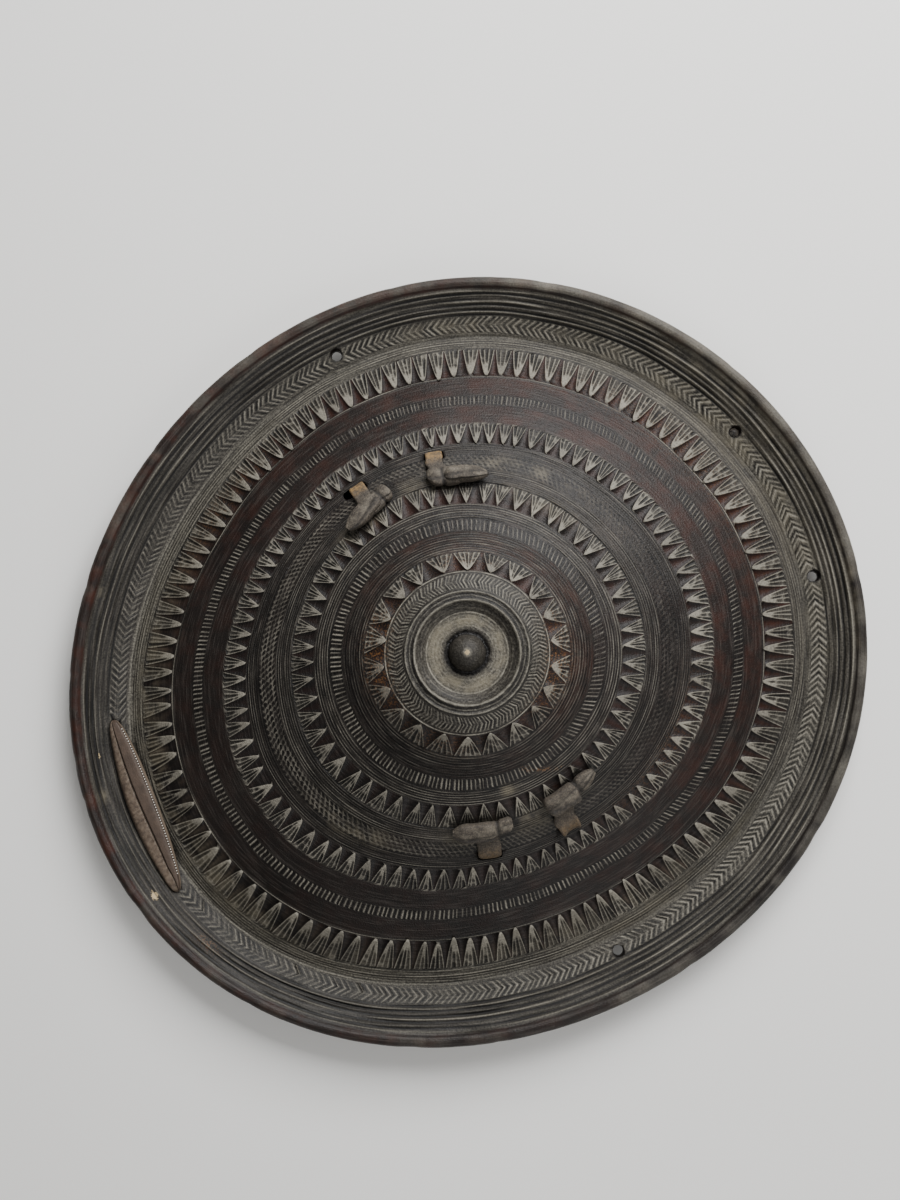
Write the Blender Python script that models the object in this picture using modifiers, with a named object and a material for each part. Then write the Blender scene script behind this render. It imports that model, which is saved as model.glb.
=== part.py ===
# Round shield of moulded and carved hide, lying face up on the flat of its back.
# Metres, +Z up. The disc's box is centred on X = Y = 0, and the flat it lies on is at Z = 0. The disc is
# modelled about its knob, and at the end moved by the small distance from there to the box's middle.

import math

import bmesh
import bpy
from mathutils import Matrix, Vector

# Hide
hideThickness = 0.006
footThickness = 0.009        # at the lowest point of the trough, which carries the weight
seatWidth = 0.009            # flat under the trough that the shield lies on
discSteps = 44               # facets around the disc

# Widths of the rings, from the middle outwards
cupFloorWidth = 0.0295
cupWallWidth = 0.0078
bossRidgeWidth = 0.0077
strokeBandWidth = 0.0140
innerTeethWidth = 0.0135
steepWidth = 0.0175
tickBandWidth = 0.0220
middleTeethWidth = 0.0154
hatchBandWidth = 0.0346
outerTeethWidth = 0.0148
plainBandWidth = 0.0424
footTeethWidth = 0.0233
troughWidth = 0.0115
edgeBandWidth = 0.0154
fluteBandWidth = 0.0186
rimRollWidth = 0.0095

# How far the face falls across each ring, going outwards
bossRidgeFall = 0.0015
strokeBandFall = 0.0067
innerTeethFall = 0.0078
steepFall = 0.0152
tickBandFall = 0.0093
middleTeethFall = 0.0060
hatchBandFall = 0.0152
outerTeethFall = 0.0048
plainBandFall = 0.0203
footTeethFall = 0.0122
troughFall = 0.0080
# How far it rises again
cupWallRise = 0.0062
edgeBandRise = 0.0075
fluteBandRise = 0.0125

# Knob in the cup
knobRadius = 0.0136
knobHeight = 0.0130
knobGrooveWidth = 0.0030
knobGrooveDepth = 0.0012

# Carving
ridgeHeight = 0.0012
ridgeWidth = 0.0030
toothRelief = 0.0014
toothShoulder = 0.0006       # run of the cut edge of a ring of teeth
toothTipShare = 0.30         # width of a tooth's tip as a share of its pitch
toothStart = math.radians(1.3)
cutFloor = 0.0001            # what the carver leaves over the plain surface between two teeth
innerTeethCount = 22
middleTeethCount = 58
outerTeethCount = 92
footTeethCount = 115
fluteCount = 4
fluteDepth = 0.0010

# The disc is not quite round: an oval and a faint three-sided warp, as shares of the radius
ovalDirection = math.radians(31)
lobeDirection = math.radians(-16)
ovalAtInnerTeeth = 0.010
ovalAtMiddleTeeth = 0.024
ovalAtOuterTeeth = 0.053
ovalAtFootTeeth = 0.052
ovalAtRim = 0.037
lobeAtMiddleTeeth = 0.013
lobeAtOuterTeeth = 0.020
lobeAtFootTeeth = 0.018
lobeAtRim = 0.010

# Bored holes in the edge band
holeDiameter = 0.007
holeInset = 0.0115           # from the bottom of the trough outwards
openHoles = [math.radians(angle) for angle in (13.2, 113.2, 297.4)]
pluggedHole = math.radians(40)
plugDepth = 0.0015
strapHoles = (math.radians(191.0), math.radians(218.2))

# Grip: two straps, each through a slot at both ends, with a toggle on the face
clearance = 0.0003
gripDirection = math.radians(110)   # the way the straps run, from +X
gripSpacing = 0.062
gripShift = -0.003           # of the pair, sideways from the middle
gripWidth = 0.026
gripThickness = 0.004
gripBow = 0.012              # how far a strap stands off its ends' level
stemWidth = 0.0135
slotInset = 0.0260           # from the foot of the middle teeth outwards
slotLength = 0.0200
slotWidth = 0.0080
toggleLength = 0.044
toggleDiameter = 0.0165
toggleStep = 0.0210          # from the slot inwards to the toggle's middle
toggleSlip = {"left_upper": 0.0, "left_lower": -0.002, "right_upper": -0.013, "right_lower": 0.012}
toggleTwist = {"left_upper": 12, "left_lower": 0, "right_upper": -4, "right_lower": 12}

# Strap between two holes of the edge band
rimStrapWidth = 0.021
rimStrapThickness = 0.0055
rimStrapNeck = 0.0058        # diameter where it goes through a hole
rimStrapRise = 0.016         # length over which it swells from a hole
rimTailLength = 0.020
rimTailWidth = 0.008
rimTailThickness = 0.0022

sectionSides = 8             # of a rounded strap
spanPieces = 10              # lengths of a bowed strap


# The face, ring by ring: width and fall of each, from the middle to the trough
innerRings = [
    (cupFloorWidth, 0.0),
    (cupWallWidth, -cupWallRise),
    (bossRidgeWidth, bossRidgeFall),
    (strokeBandWidth, strokeBandFall),
    (innerTeethWidth, innerTeethFall),
    (steepWidth, steepFall),
    (tickBandWidth, tickBandFall),
    (middleTeethWidth, middleTeethFall),
    (hatchBandWidth, hatchBandFall),
    (outerTeethWidth, outerTeethFall),
    (plainBandWidth, plainBandFall),
    (footTeethWidth, footTeethFall),
    (troughWidth, troughFall),
]
outerRings = [
    (edgeBandWidth, -edgeBandRise),
    (fluteBandWidth, -fluteBandRise),
]


def ringEnds():
    # (radius, height) where each ring of the plain face ends, with the middle first
    height = footThickness + sum(fall for width, fall in innerRings)
    ends = [(0.0, height)]
    for width, fall in innerRings + outerRings:
        radius, height = ends[-1]
        ends.append((radius + width, height - fall))
    return ends


ends = ringEnds()
radii = [radius for radius, height in ends[1:]]
cupEnd, cupWallEnd, ridgeEnd, strokeEnd, innerTeethEnd, steepEnd, tickEnd, middleTeethEnd = radii[:8]
hatchEnd, outerTeethEnd, plainEnd, footTeethEnd, troughEnd, edgeEnd, fluteEnd = radii[8:]
rimRadius = fluteEnd + rimRollWidth
faceSlope = math.atan2(ends[3][1] - footThickness, troughEnd - ridgeEnd)


def interpolate(points, x):
    for (x0, y0), (x1, y1) in zip(points, points[1:]):
        if x <= x1:
            return y0 + (y1 - y0) * (x - x0) / (x1 - x0)
    return points[-1][1]


def faceHeight(radius):
    return interpolate(ends, radius)


def backHeight(radius):
    return faceHeight(radius) - hideThickness / math.cos(faceSlope)


def warp(radius, angle):
    # Radius on the real disc of a point that a round disc would have at this radius
    oval = interpolate([(0, 0), (innerTeethEnd, ovalAtInnerTeeth), (middleTeethEnd, ovalAtMiddleTeeth),
                        (outerTeethEnd, ovalAtOuterTeeth), (footTeethEnd, ovalAtFootTeeth),
                        (rimRadius, ovalAtRim)], radius)
    lobe = interpolate([(0, 0), (innerTeethEnd, 0), (middleTeethEnd, lobeAtMiddleTeeth),
                        (outerTeethEnd, lobeAtOuterTeeth), (footTeethEnd, lobeAtFootTeeth),
                        (rimRadius, lobeAtRim)], radius)
    wave = oval * math.cos(2 * (angle - ovalDirection)) + lobe * math.cos(3 * (angle - lobeDirection))
    return radius * (1 + wave)


def roundRadius(x, y):
    # The same the other way: which ring of the round disc a point of the real disc lies on
    angle = math.atan2(y, x)
    real = math.hypot(x, y)
    radius = real
    for step in range(6):
        radius *= real / max(warp(radius, angle), 1e-9)
    return radius


def onDisc(radius, angle, height=0.0):
    real = warp(radius, angle)
    return Vector((real * math.cos(angle), real * math.sin(angle), height))


def faceUnder(point):
    return faceHeight(roundRadius(point.x, point.y))


# Scene

for old in list(bpy.data.objects):
    bpy.data.objects.remove(old, do_unlink=True)

partCollection = bpy.data.collections.new("moulded_hide_shield")
cutterCollection = bpy.data.collections.new("cutters")
for collection in (partCollection, cutterCollection):
    bpy.context.scene.collection.children.link(collection)
frame = bpy.data.objects.new("shield_frame", None)
partCollection.objects.link(frame)


def makeMaterial(name, color, roughness):
    material = bpy.data.materials.new(name)
    material.use_nodes = True
    shader = material.node_tree.nodes["Principled BSDF"]
    shader.inputs["Base Color"].default_value = (*color, 1.0)
    shader.inputs["Roughness"].default_value = roughness
    shader.inputs["Metallic"].default_value = 0.0
    return material


hideMaterial = makeMaterial("worn_hide", (0.075, 0.058, 0.047), 0.55)
gripMaterial = makeMaterial("grip_leather", (0.16, 0.12, 0.085), 0.65)
strapMaterial = makeMaterial("brown_strap_leather", (0.13, 0.075, 0.048), 0.5)


def addObject(name, mesh, collection, material=None):
    obj = bpy.data.objects.new(name, mesh)
    collection.objects.link(obj)
    obj.parent = frame
    if material:
        mesh.materials.clear()
        mesh.materials.append(material)
    if collection is cutterCollection:
        obj.hide_render = True
        obj.display_type = "WIRE"
    return obj


def meshFrom(name, shape):
    bmesh.ops.recalc_face_normals(shape, faces=shape.faces)
    mesh = bpy.data.meshes.new(name)
    shape.to_mesh(mesh)
    shape.free()
    return mesh


def evaluatedMesh(obj):
    bpy.context.view_layer.update()
    graph = bpy.context.evaluated_depsgraph_get()
    return bpy.data.meshes.new_from_object(obj.evaluated_get(graph))


def boolean(obj, other, operation):
    modifier = obj.modifiers.new(other.name, "BOOLEAN")
    modifier.operation = operation
    modifier.object = other
    modifier.solver = "EXACT"


def bake(obj):
    obj.data = evaluatedMesh(obj)
    obj.modifiers.clear()


# Shapes that several pieces use

def addCube(shape, place, size):
    matrix = place @ Matrix.Diagonal((*size, 1.0))
    bmesh.ops.create_cube(shape, size=1.0, matrix=matrix)


def uprightAt(point, angle):
    # Local X points along the angle in plan, local Z up
    return Matrix.Translation(point) @ Matrix.Rotation(angle, 4, "Z")


def loft(name, sections):
    # Each section is a list of points, all of the same length
    shape = bmesh.new()
    rings = [[shape.verts.new(point) for point in section] for section in sections]
    for ring, following in zip(rings, rings[1:]):
        for i in range(len(ring)):
            j = (i + 1) % len(ring)
            shape.faces.new((ring[i], ring[j], following[j], following[i]))
    shape.faces.new(list(reversed(rings[0])))
    shape.faces.new(rings[-1])
    return meshFrom(name, shape)


# Shell

def knobProfile():
    # From the top of the knob down its side into the groove around it
    base = faceHeight(0)
    points = []
    for degrees in (90, 60, 30, 0):
        turn = math.radians(degrees)
        points.append((knobRadius * math.cos(turn), base + knobHeight * math.sin(turn)))
    points.append((knobRadius + knobGrooveWidth / 2, base - knobGrooveDepth))
    points.append((knobRadius + knobGrooveWidth, base))
    return points


def bossProfile():
    # Two ridges around the cup, one at the top of its wall and one at the edge of the boss
    points = [(cupEnd, faceHeight(cupEnd))]
    for crest in (cupWallEnd, ridgeEnd - ridgeWidth / 2):
        foot = crest + ridgeWidth / 2
        points.append((crest, faceHeight(crest) + ridgeHeight))
        points.append((foot, faceHeight(foot)))
    return points


def teethProfile(start, end):
    # A ring that stands proud at the tips of its teeth and runs out at their roots
    raised = [(start, 0), (start + toothShoulder, toothRelief), (end, 0)]
    return [(radius, faceHeight(radius) + relief) for radius, relief in raised]


def fluteProfile():
    points = [(edgeEnd, faceHeight(edgeEnd))]
    pitch = fluteBandWidth / fluteCount
    for i in range(fluteCount):
        crest = edgeEnd + pitch * (i + 0.5)
        valley = edgeEnd + pitch * (i + 1)
        points.append((crest, faceHeight(crest) + fluteDepth))
        points.append((valley, faceHeight(valley)))
    return points


def rimProfile():
    # The rolled edge, from the last flute over the top and down the outside
    middle = Vector((fluteEnd + rimRollWidth / 2, faceHeight(fluteEnd)))
    points = []
    for degrees in (130, 80, 30, -30, -90):
        turn = math.radians(degrees)
        points.append(tuple(middle + Vector((math.cos(turn), math.sin(turn))) * rimRollWidth / 2))
    return points


def backProfile():
    # From the rim inwards: under the flutes, the flat of the seat, and up into the hollow
    points = [(fluteEnd, backHeight(fluteEnd)), (edgeEnd, backHeight(edgeEnd))]
    points += [(troughEnd + seatWidth / 2, 0.0), (troughEnd - seatWidth / 2, 0.0)]
    points += [(radius, backHeight(radius)) for radius in
               (footTeethEnd, hatchEnd, tickEnd, innerTeethEnd, strokeEnd, cupEnd)]
    points.append((0.0, backHeight(0)))
    return points


def shellProfile():
    points = knobProfile() + bossProfile()
    points += teethProfile(strokeEnd, innerTeethEnd)
    points.append((steepEnd, faceHeight(steepEnd)))
    points += teethProfile(tickEnd, middleTeethEnd)
    points += teethProfile(hatchEnd, outerTeethEnd)
    points += teethProfile(plainEnd, footTeethEnd)
    points.append((troughEnd, faceHeight(troughEnd)))
    return points + fluteProfile() + rimProfile() + backProfile()


def turned(name, points):
    # A profile in the XZ plane, turned about Z
    mesh = bpy.data.meshes.new(name)
    edges = [(i, i + 1) for i in range(len(points) - 1)]
    mesh.from_pydata([(x, 0.0, z) for x, z in points], edges, [])
    obj = addObject(name, mesh, partCollection, hideMaterial)
    screw = obj.modifiers.new("turn", "SCREW")
    screw.axis = "Z"
    screw.angle = math.radians(360)
    screw.steps = discSteps
    screw.render_steps = discSteps
    screw.use_merge_vertices = True
    screw.merge_threshold = 0.00005
    return obj


def teethCutter(name, start, end, count):
    # A ring of three-cornered cuts, wide at the teeth's tips and closing at their roots
    shape = bmesh.new()
    pitch = 2 * math.pi / count
    reach = toothShoulder * 3
    top = toothRelief * 4
    slope = (faceHeight(end) - faceHeight(start)) / (end - start)
    for i in range(count):
        middle = pitch * (i + 0.5) + toothStart
        half = pitch * (1 - toothTipShare) / 2
        corners = []
        for radius, turn in ((start - reach, -half), (start - reach, half), (end, 0)):
            floor = faceHeight(start) + slope * (radius - start) + cutFloor
            angle = middle + turn
            corners.append(Vector((radius * math.cos(angle), radius * math.sin(angle), floor)))
        low = [shape.verts.new(corner) for corner in corners]
        high = [shape.verts.new(corner + Vector((0, 0, top))) for corner in corners]
        shape.faces.new(list(reversed(low)))
        shape.faces.new(high)
        for a, b in ((0, 1), (1, 2), (2, 0)):
            shape.faces.new((low[a], low[b], high[b], high[a]))
    return addObject(name, meshFrom(name, shape), cutterCollection)


def holeCutter():
    shape = bmesh.new()
    radius = troughEnd + holeInset
    deep = footThickness * 4
    for angle in (*openHoles, *strapHoles):
        place = Matrix.Translation(onDisc(radius, angle, faceHeight(radius)))
        bmesh.ops.create_cone(shape, cap_ends=True, segments=12, radius1=holeDiameter / 2,
                              radius2=holeDiameter / 2, depth=deep, matrix=place)
    plug = onDisc(radius, pluggedHole, faceHeight(radius) + deep / 2 - plugDepth)
    bmesh.ops.create_cone(shape, cap_ends=True, segments=12, radius1=holeDiameter / 2,
                          radius2=holeDiameter / 2, depth=deep, matrix=Matrix.Translation(plug))
    return addObject("hole_cutter", meshFrom("hole_cutter", shape), cutterCollection)


def slotCutter():
    shape = bmesh.new()
    for offset in gripOffsets():
        for side in (1, -1):
            point = slotPlace(offset, side)
            place = uprightAt(point, math.atan2(point.y, point.x))
            addCube(shape, place, (slotWidth, slotLength, hideThickness * 8))
    return addObject("slot_cutter", meshFrom("slot_cutter", shape), cutterCollection)


def makeShell():
    shell = turned("hide_shell", shellProfile())
    rings = [("inner_teeth_cutter", strokeEnd, innerTeethEnd, innerTeethCount),
             ("middle_teeth_cutter", tickEnd, middleTeethEnd, middleTeethCount),
             ("outer_teeth_cutter", hatchEnd, outerTeethEnd, outerTeethCount),
             ("foot_teeth_cutter", plainEnd, footTeethEnd, footTeethCount)]
    for ring in rings:
        boolean(shell, teethCutter(*ring), "DIFFERENCE")
    bake(shell)
    for vertex in shell.data.vertices:
        x, y, z = vertex.co
        radius = math.hypot(x, y)
        if radius > clearance:
            vertex.co = onDisc(radius, math.atan2(y, x), z)
    boolean(shell, slotCutter(), "DIFFERENCE")
    boolean(shell, holeCutter(), "DIFFERENCE")
    shell.data.shade_smooth()
    shell.data.set_sharp_from_angle(angle=math.radians(25))
    return shell


# Grip

def gripOffsets():
    return (gripShift - gripSpacing / 2, gripShift + gripSpacing / 2)


def slotPlace(offset, side):
    # Where a strap's line meets the ring of slots, on the upper (1) or lower (-1) side
    along = Vector((math.cos(gripDirection), math.sin(gripDirection), 0))
    across = Vector((math.sin(gripDirection), -math.cos(gripDirection), 0))
    radius = middleTeethEnd + slotInset
    reach = radius
    for step in range(8):
        point = across * offset + along * side * reach
        reach *= radius / roundRadius(point.x, point.y)
    point = across * offset + along * side * reach
    point.z = faceUnder(point)
    return point


def stripSection(place, side, normal, width, thickness):
    points = []
    for across, over in ((-1, 1), (1, 1), (1, -1), (-1, -1)):
        points.append(place + side * across * width / 2 + normal * over * thickness / 2)
    return points


def gripSpan(name, first, last, top):
    # The stretch behind the disc, bowed away from it, from slot to slot
    length = (last - first).length + gripThickness * 2
    along = (last - first).normalized()
    across = Vector((along.y, -along.x, 0))
    start = first - along * gripThickness
    sections = []
    for i in range(spanPieces + 1):
        share = i / spanPieces
        place = start + along * length * share
        place.z = top - gripBow * (1 - (2 * share - 1) ** 2) - gripThickness / 2
        sections.append(stripSection(place, across, Vector((0, 0, 1)), gripWidth, gripThickness))
    return addObject(name, loft(name, sections), partCollection, gripMaterial)


def gripEnd(name, slot, top, slip, twist):
    # Up through the slot, in over the face, and rolled into a toggle that may sit off its middle
    angle = math.atan2(slot.y, slot.x)
    inward = Vector((-math.cos(angle), -math.sin(angle), 0))
    side = Vector((-math.sin(angle), math.cos(angle), 0))
    up = Vector((0, 0, 1))
    slope = math.atan((faceHeight(middleTeethEnd) - faceHeight(hatchEnd)) / hatchBandWidth)
    seat = slot + inward * toggleStep
    seat.z = faceUnder(seat) + (toggleDiameter / 2 + toothRelief + clearance * 2) / math.cos(slope)

    foot = Vector((slot.x, slot.y, top - gripThickness / 2))
    bend = slot + up * (toothRelief + clearance + gripThickness / 2) / math.cos(slope)
    finish = seat - up * toggleDiameter / 4
    run = (finish - bend).normalized()
    over = side.cross(run)
    if over.z < 0:
        over = -over
    sections = [stripSection(foot, side, -inward, stemWidth, gripThickness),
                stripSection(bend - up * gripThickness / 2, side, -inward, stemWidth, gripThickness),
                stripSection(bend + inward * gripThickness / 4, side, (over - inward).normalized(),
                             stemWidth, gripThickness),
                stripSection(bend + run * gripThickness, side, over, stemWidth, gripThickness),
                stripSection(finish, side, over, stemWidth, gripThickness)]
    stem = addObject(name + "_stem", loft(name + "_stem", sections), cutterCollection)

    shape = bmesh.new()
    place = uprightAt(seat, angle + math.radians(twist)) @ Matrix.Rotation(math.radians(90), 4, "X")
    place = place @ Matrix.Translation((0, 0, -slip))
    bmesh.ops.create_cone(shape, cap_ends=True, segments=12, radius1=toggleDiameter / 2,
                          radius2=toggleDiameter / 2, depth=toggleLength, matrix=place)
    toggle = addObject(name + "_toggle", meshFrom(name + "_toggle", shape), cutterCollection)
    return stem, toggle


def makeGrip(side, offset):
    name = "grip_strap_" + side
    upper = slotPlace(offset, 1)
    lower = slotPlace(offset, -1)
    top = backHeight(middleTeethEnd + slotInset + gripWidth / 2) - clearance
    flat = [Vector((point.x, point.y, 0)) for point in (upper, lower)]
    strap = gripSpan(name, *flat, top)
    for place, slot in ((side + "_upper", upper), (side + "_lower", lower)):
        for shape in gripEnd(place, slot, top, toggleSlip[place], toggleTwist[place]):
            boolean(strap, shape, "UNION")


# Strap at the edge

def swell(share):
    # Width of a leaf shape, from 0 at the tips to 1 in the middle
    return math.sin(math.pi * min(max(share, 0.0), 1.0)) ** 0.7


def clearHeight(middle, across, halfWidth):
    # Lowest level at which a flat strap of this width clears the face
    steps = [i / 4 - 1 for i in range(9)]
    return max(faceUnder(middle + across * halfWidth * step) for step in steps) + clearance * 2


def ovalSection(place, side, normal, halfWidth, halfThickness):
    points = []
    for i in range(sectionSides):
        turn = 2 * math.pi * i / sectionSides
        points.append(place + side * halfWidth * math.cos(turn) + normal * halfThickness * math.sin(turn))
    return points


def strapEnd(hole, inward, across, under, top, backSlope):
    # From the tail, which points away from the strap's middle, up through the hole; both ends are alike
    tail = hole + Vector((0, 0, under))
    slant = across * math.cos(backSlope) + Vector((0, 0, math.sin(backSlope)))
    lean = inward.cross(slant)
    if lean.z < 0:
        lean = -lean
    sections = []
    for reach in (rimTailLength, rimTailLength / 2, rimStrapNeck):
        place = tail - inward * reach
        sections.append(ovalSection(place, slant, lean, rimTailWidth / 2, rimTailThickness / 2))
    bend = (lean - inward).normalized()
    place = tail - inward * rimStrapNeck / 4
    sections.append(ovalSection(place, across, bend, rimStrapNeck / 2, rimStrapNeck / 4))
    for share in (0.4, 1.0):
        place = hole + Vector((0, 0, under + (top - under) * share))
        sections.append(ovalSection(place, across, -inward, rimStrapNeck / 2, rimStrapNeck / 2))
    return sections


def makeRimStrap():
    radius = troughEnd + holeInset
    first, last = [onDisc(radius, angle) for angle in strapHoles]
    along = (last - first).normalized()
    across = Vector((along.y, -along.x, 0))
    if across.dot(first) < 0:
        across = -across
    length = (last - first).length
    halfNeck = rimStrapNeck / 2
    backSlope = math.atan2(backHeight(edgeEnd), edgeBandWidth - seatWidth / 2)
    behind = radius - troughEnd - seatWidth / 2
    under = behind * math.tan(backSlope) - (clearance * 2 + rimTailThickness / 2) / math.cos(backSlope)
    top = faceHeight(radius) + halfNeck
    passage = (across, under, top, backSlope)

    middle = []
    for i in range(spanPieces + 1):
        reach = rimStrapRise / 3 + (length - rimStrapRise * 2 / 3) * i / spanPieces
        share = reach / length
        place = first + along * reach
        halfWidth = halfNeck + (rimStrapWidth / 2 - halfNeck) * swell(share)
        halfThickness = halfNeck * 0.7 + (rimStrapThickness / 2 - halfNeck * 0.7) * swell(share)
        place.z = max(clearHeight(place, across, halfWidth), faceHeight(radius)) + halfThickness
        middle.append(ovalSection(place, across, Vector((0, 0, 1)), halfWidth, halfThickness))

    sections = strapEnd(first, along, *passage) + middle + strapEnd(last, -along, *passage)[::-1]
    addObject("rim_strap", loft("rim_strap", sections), partCollection, strapMaterial)


def middleInPlan(obj):
    vertices = evaluatedMesh(obj).vertices
    across = [vertex.co.x for vertex in vertices]
    along = [vertex.co.y for vertex in vertices]
    return Vector(((min(across) + max(across)) / 2, (min(along) + max(along)) / 2, 0))


shell = makeShell()
for gripSide, gripOffset in zip(("left", "right"), gripOffsets()):
    makeGrip(gripSide, gripOffset)
makeRimStrap()
frame.location = -middleInPlan(shell)
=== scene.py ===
import math

import bmesh
import bpy
import numpy as np
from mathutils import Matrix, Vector


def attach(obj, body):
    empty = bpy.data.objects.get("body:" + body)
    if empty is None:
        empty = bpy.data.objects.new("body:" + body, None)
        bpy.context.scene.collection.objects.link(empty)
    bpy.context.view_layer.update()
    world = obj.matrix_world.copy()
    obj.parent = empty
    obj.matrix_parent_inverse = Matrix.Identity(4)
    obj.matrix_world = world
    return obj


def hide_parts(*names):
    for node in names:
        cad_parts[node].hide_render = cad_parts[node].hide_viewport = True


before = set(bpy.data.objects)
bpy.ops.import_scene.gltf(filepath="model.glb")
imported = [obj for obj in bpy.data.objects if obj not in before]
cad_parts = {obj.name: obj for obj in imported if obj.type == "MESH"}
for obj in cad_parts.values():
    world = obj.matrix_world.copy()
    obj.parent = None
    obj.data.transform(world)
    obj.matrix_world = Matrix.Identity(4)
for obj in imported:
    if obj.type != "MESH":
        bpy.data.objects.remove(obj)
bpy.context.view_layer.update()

mm = 0.001
up = Vector((0, 0, 1))
fullTurn = 2 * math.pi
print("Solids loaded")


# Disc: the form it has in the solids

disc = {
    # name of a ring, its width and how far the face falls across it, from the middle outwards, in mm
    "rings": [("cupFloor", 29.5, 0.0), ("cupWall", 7.8, -6.2), ("bossRidge", 7.7, 1.5), ("strokeBand", 14.0, 6.7),
              ("innerTeeth", 13.5, 7.8), ("steep", 17.5, 15.2), ("tickBand", 22.0, 9.3),
              ("middleTeeth", 15.4, 6.0), ("hatchBand", 34.6, 15.2), ("outerTeeth", 14.8, 4.8),
              ("plainBand", 42.4, 20.3), ("footTeeth", 23.3, 12.2), ("trough", 11.5, 8.0),
              ("edgeBand", 15.4, -7.5), ("fluteBand", 18.6, -12.5), ("rimRoll", 9.5, 0.0)],
    "hideThickness": 6.0,
    "footThickness": 9.0,
    "seatWidth": 9.0,
    "softening": 1.6,                     # how far the corners between rings are rounded, mm
    "ovalDirection": math.radians(31),
    "lobeDirection": math.radians(-16),
    "oval": {"innerTeeth": 0.010, "middleTeeth": 0.024, "outerTeeth": 0.053, "footTeeth": 0.052, "rimRoll": 0.037},
    "lobe": {"innerTeeth": 0.0, "middleTeeth": 0.013, "outerTeeth": 0.020, "footTeeth": 0.018, "rimRoll": 0.010},
}


def ringEnds():
    # Outer radius of each ring by name, and the face's height along the radius
    names = [name for name, width, fall in disc["rings"]]
    height = disc["footThickness"] + sum(fall for name, width, fall in disc["rings"][:names.index("trough") + 1])
    radius = 0.0
    ends = {"middle": (0.0, height)}
    for name, width, fall in disc["rings"]:
        radius += width
        height -= fall
        ends[name] = (radius, height)
    return ends


ends = ringEnds()
slopeDrop = ends["bossRidge"][1] - disc["footThickness"]
faceSlope = math.atan2(slopeDrop, ends["trough"][0] - ends["bossRidge"][0])
backDrop = disc["hideThickness"] / math.cos(faceSlope)


def softened(points):
    # A lookup along the radius with its corners rounded a little
    step = 0.2
    radii = np.arange(-20.0, 320.0, step)
    known = np.array(points)
    heights = np.interp(np.abs(radii), known[:, 0], known[:, 1])
    reach = int(disc["softening"] / step)
    kernel = np.ones(2 * reach + 1) / (2 * reach + 1)
    smooth = np.convolve(np.pad(heights, reach, mode="edge"), kernel, mode="valid")
    return radii, smooth


faceCurve = softened(list(ends.values()))
seatRadius = ends["trough"][0]
backPoints = [(radius, height - backDrop) for name, (radius, height) in ends.items()
              if name not in ("footTeeth", "trough", "cupWall", "bossRidge", "rimRoll")]
backPoints += [(ends["footTeeth"][0], ends["footTeeth"][1] - backDrop)]
backPoints += [(seatRadius - disc["seatWidth"] / 2, 0.0), (seatRadius + disc["seatWidth"] / 2, 0.0)]
backCurve = softened(sorted(backPoints))


def faceHeight(radius):
    return np.interp(radius, *faceCurve)


def backHeight(radius):
    return np.interp(radius, *backCurve)


def stops(name):
    shares = {0.0: 0.0}
    shares.update({ends[ring][0]: share for ring, share in disc[name].items()})
    return list(shares), list(shares.values())


ovalStops, lobeStops = stops("oval"), stops("lobe")


def warpedRadius(radius, angle):
    # The disc is not quite round: an oval and a faint three-sided warp
    wave = np.interp(radius, *ovalStops) * np.cos(2 * (angle - disc["ovalDirection"]))
    wave = wave + np.interp(radius, *lobeStops) * np.cos(3 * (angle - disc["lobeDirection"]))
    return radius * (1 + wave)


knobTop = max(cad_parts["hide_shell"].data.vertices, key=lambda vertex: vertex.co.z).co
knobAxis = Vector((knobTop.x, knobTop.y, 0))


def onDisc(radius, angle, height=0.0):
    # Place in the shared frame of a point given on the round disc, in mm
    real = float(warpedRadius(radius, angle)) * mm
    return Vector((real * math.cos(angle), real * math.sin(angle), height * mm)) + knobAxis


def roundRadius(point):
    # Which radius of the round disc, in mm, a place in the shared frame lies on
    x, y = point[0] - knobAxis.x, point[1] - knobAxis.y
    angle, real = math.atan2(y, x), math.hypot(x, y) / mm
    radius = real
    for step in range(6):
        radius *= real / max(float(warpedRadius(radius, angle)), 1e-9)
    return radius


def faceUnder(point):
    return float(faceHeight(roundRadius(point))) * mm


def angleFrom(angle, degrees):
    # How far round the disc, from -pi to pi, each angle lies from a place given in degrees
    return (angle - math.radians(degrees) + math.pi) % fullTurn - math.pi


def toward(angle, degrees):
    # 1 on the side of the disc that looks that way, -1 on the other side
    return np.cos(angle - math.radians(degrees))


def around(columns):
    return fullTurn * np.arange(columns) / columns


def squarish(turn, wide, high):
    # A place on a circle that is blown up towards its box, by a power each way
    x, y = math.cos(turn), math.sin(turn)
    return math.copysign(abs(x) ** wide, x), math.copysign(abs(y) ** high, y)


# Camera

view = {
    "place": Vector((-0.0089, -0.0370, 1.1000)),   # from the knob's axis, where the photograph was taken from
    "turn": (math.radians(4.289), math.radians(0.187), 0.0),
    "lens": 42.24,
}
camera = bpy.data.objects.new("camera", bpy.data.cameras.new("camera"))
camera.data.lens = view["lens"]
camera.data.sensor_width = 36
camera.data.clip_start = 0.01
camera.location = view["place"] + knobAxis
camera.rotation_euler = view["turn"]
bpy.context.scene.collection.objects.link(camera)
bpy.context.scene.camera = camera


# Materials: what they share

def linear(hexColor):
    # sRGB hex to linear, as the shaders want it
    parts = [int(hexColor[i:i + 2], 16) / 255 for i in (1, 3, 5)]
    return (*[part / 12.92 if part <= 0.04045 else ((part + 0.055) / 1.055) ** 2.4 for part in parts], 1.0)


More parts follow.
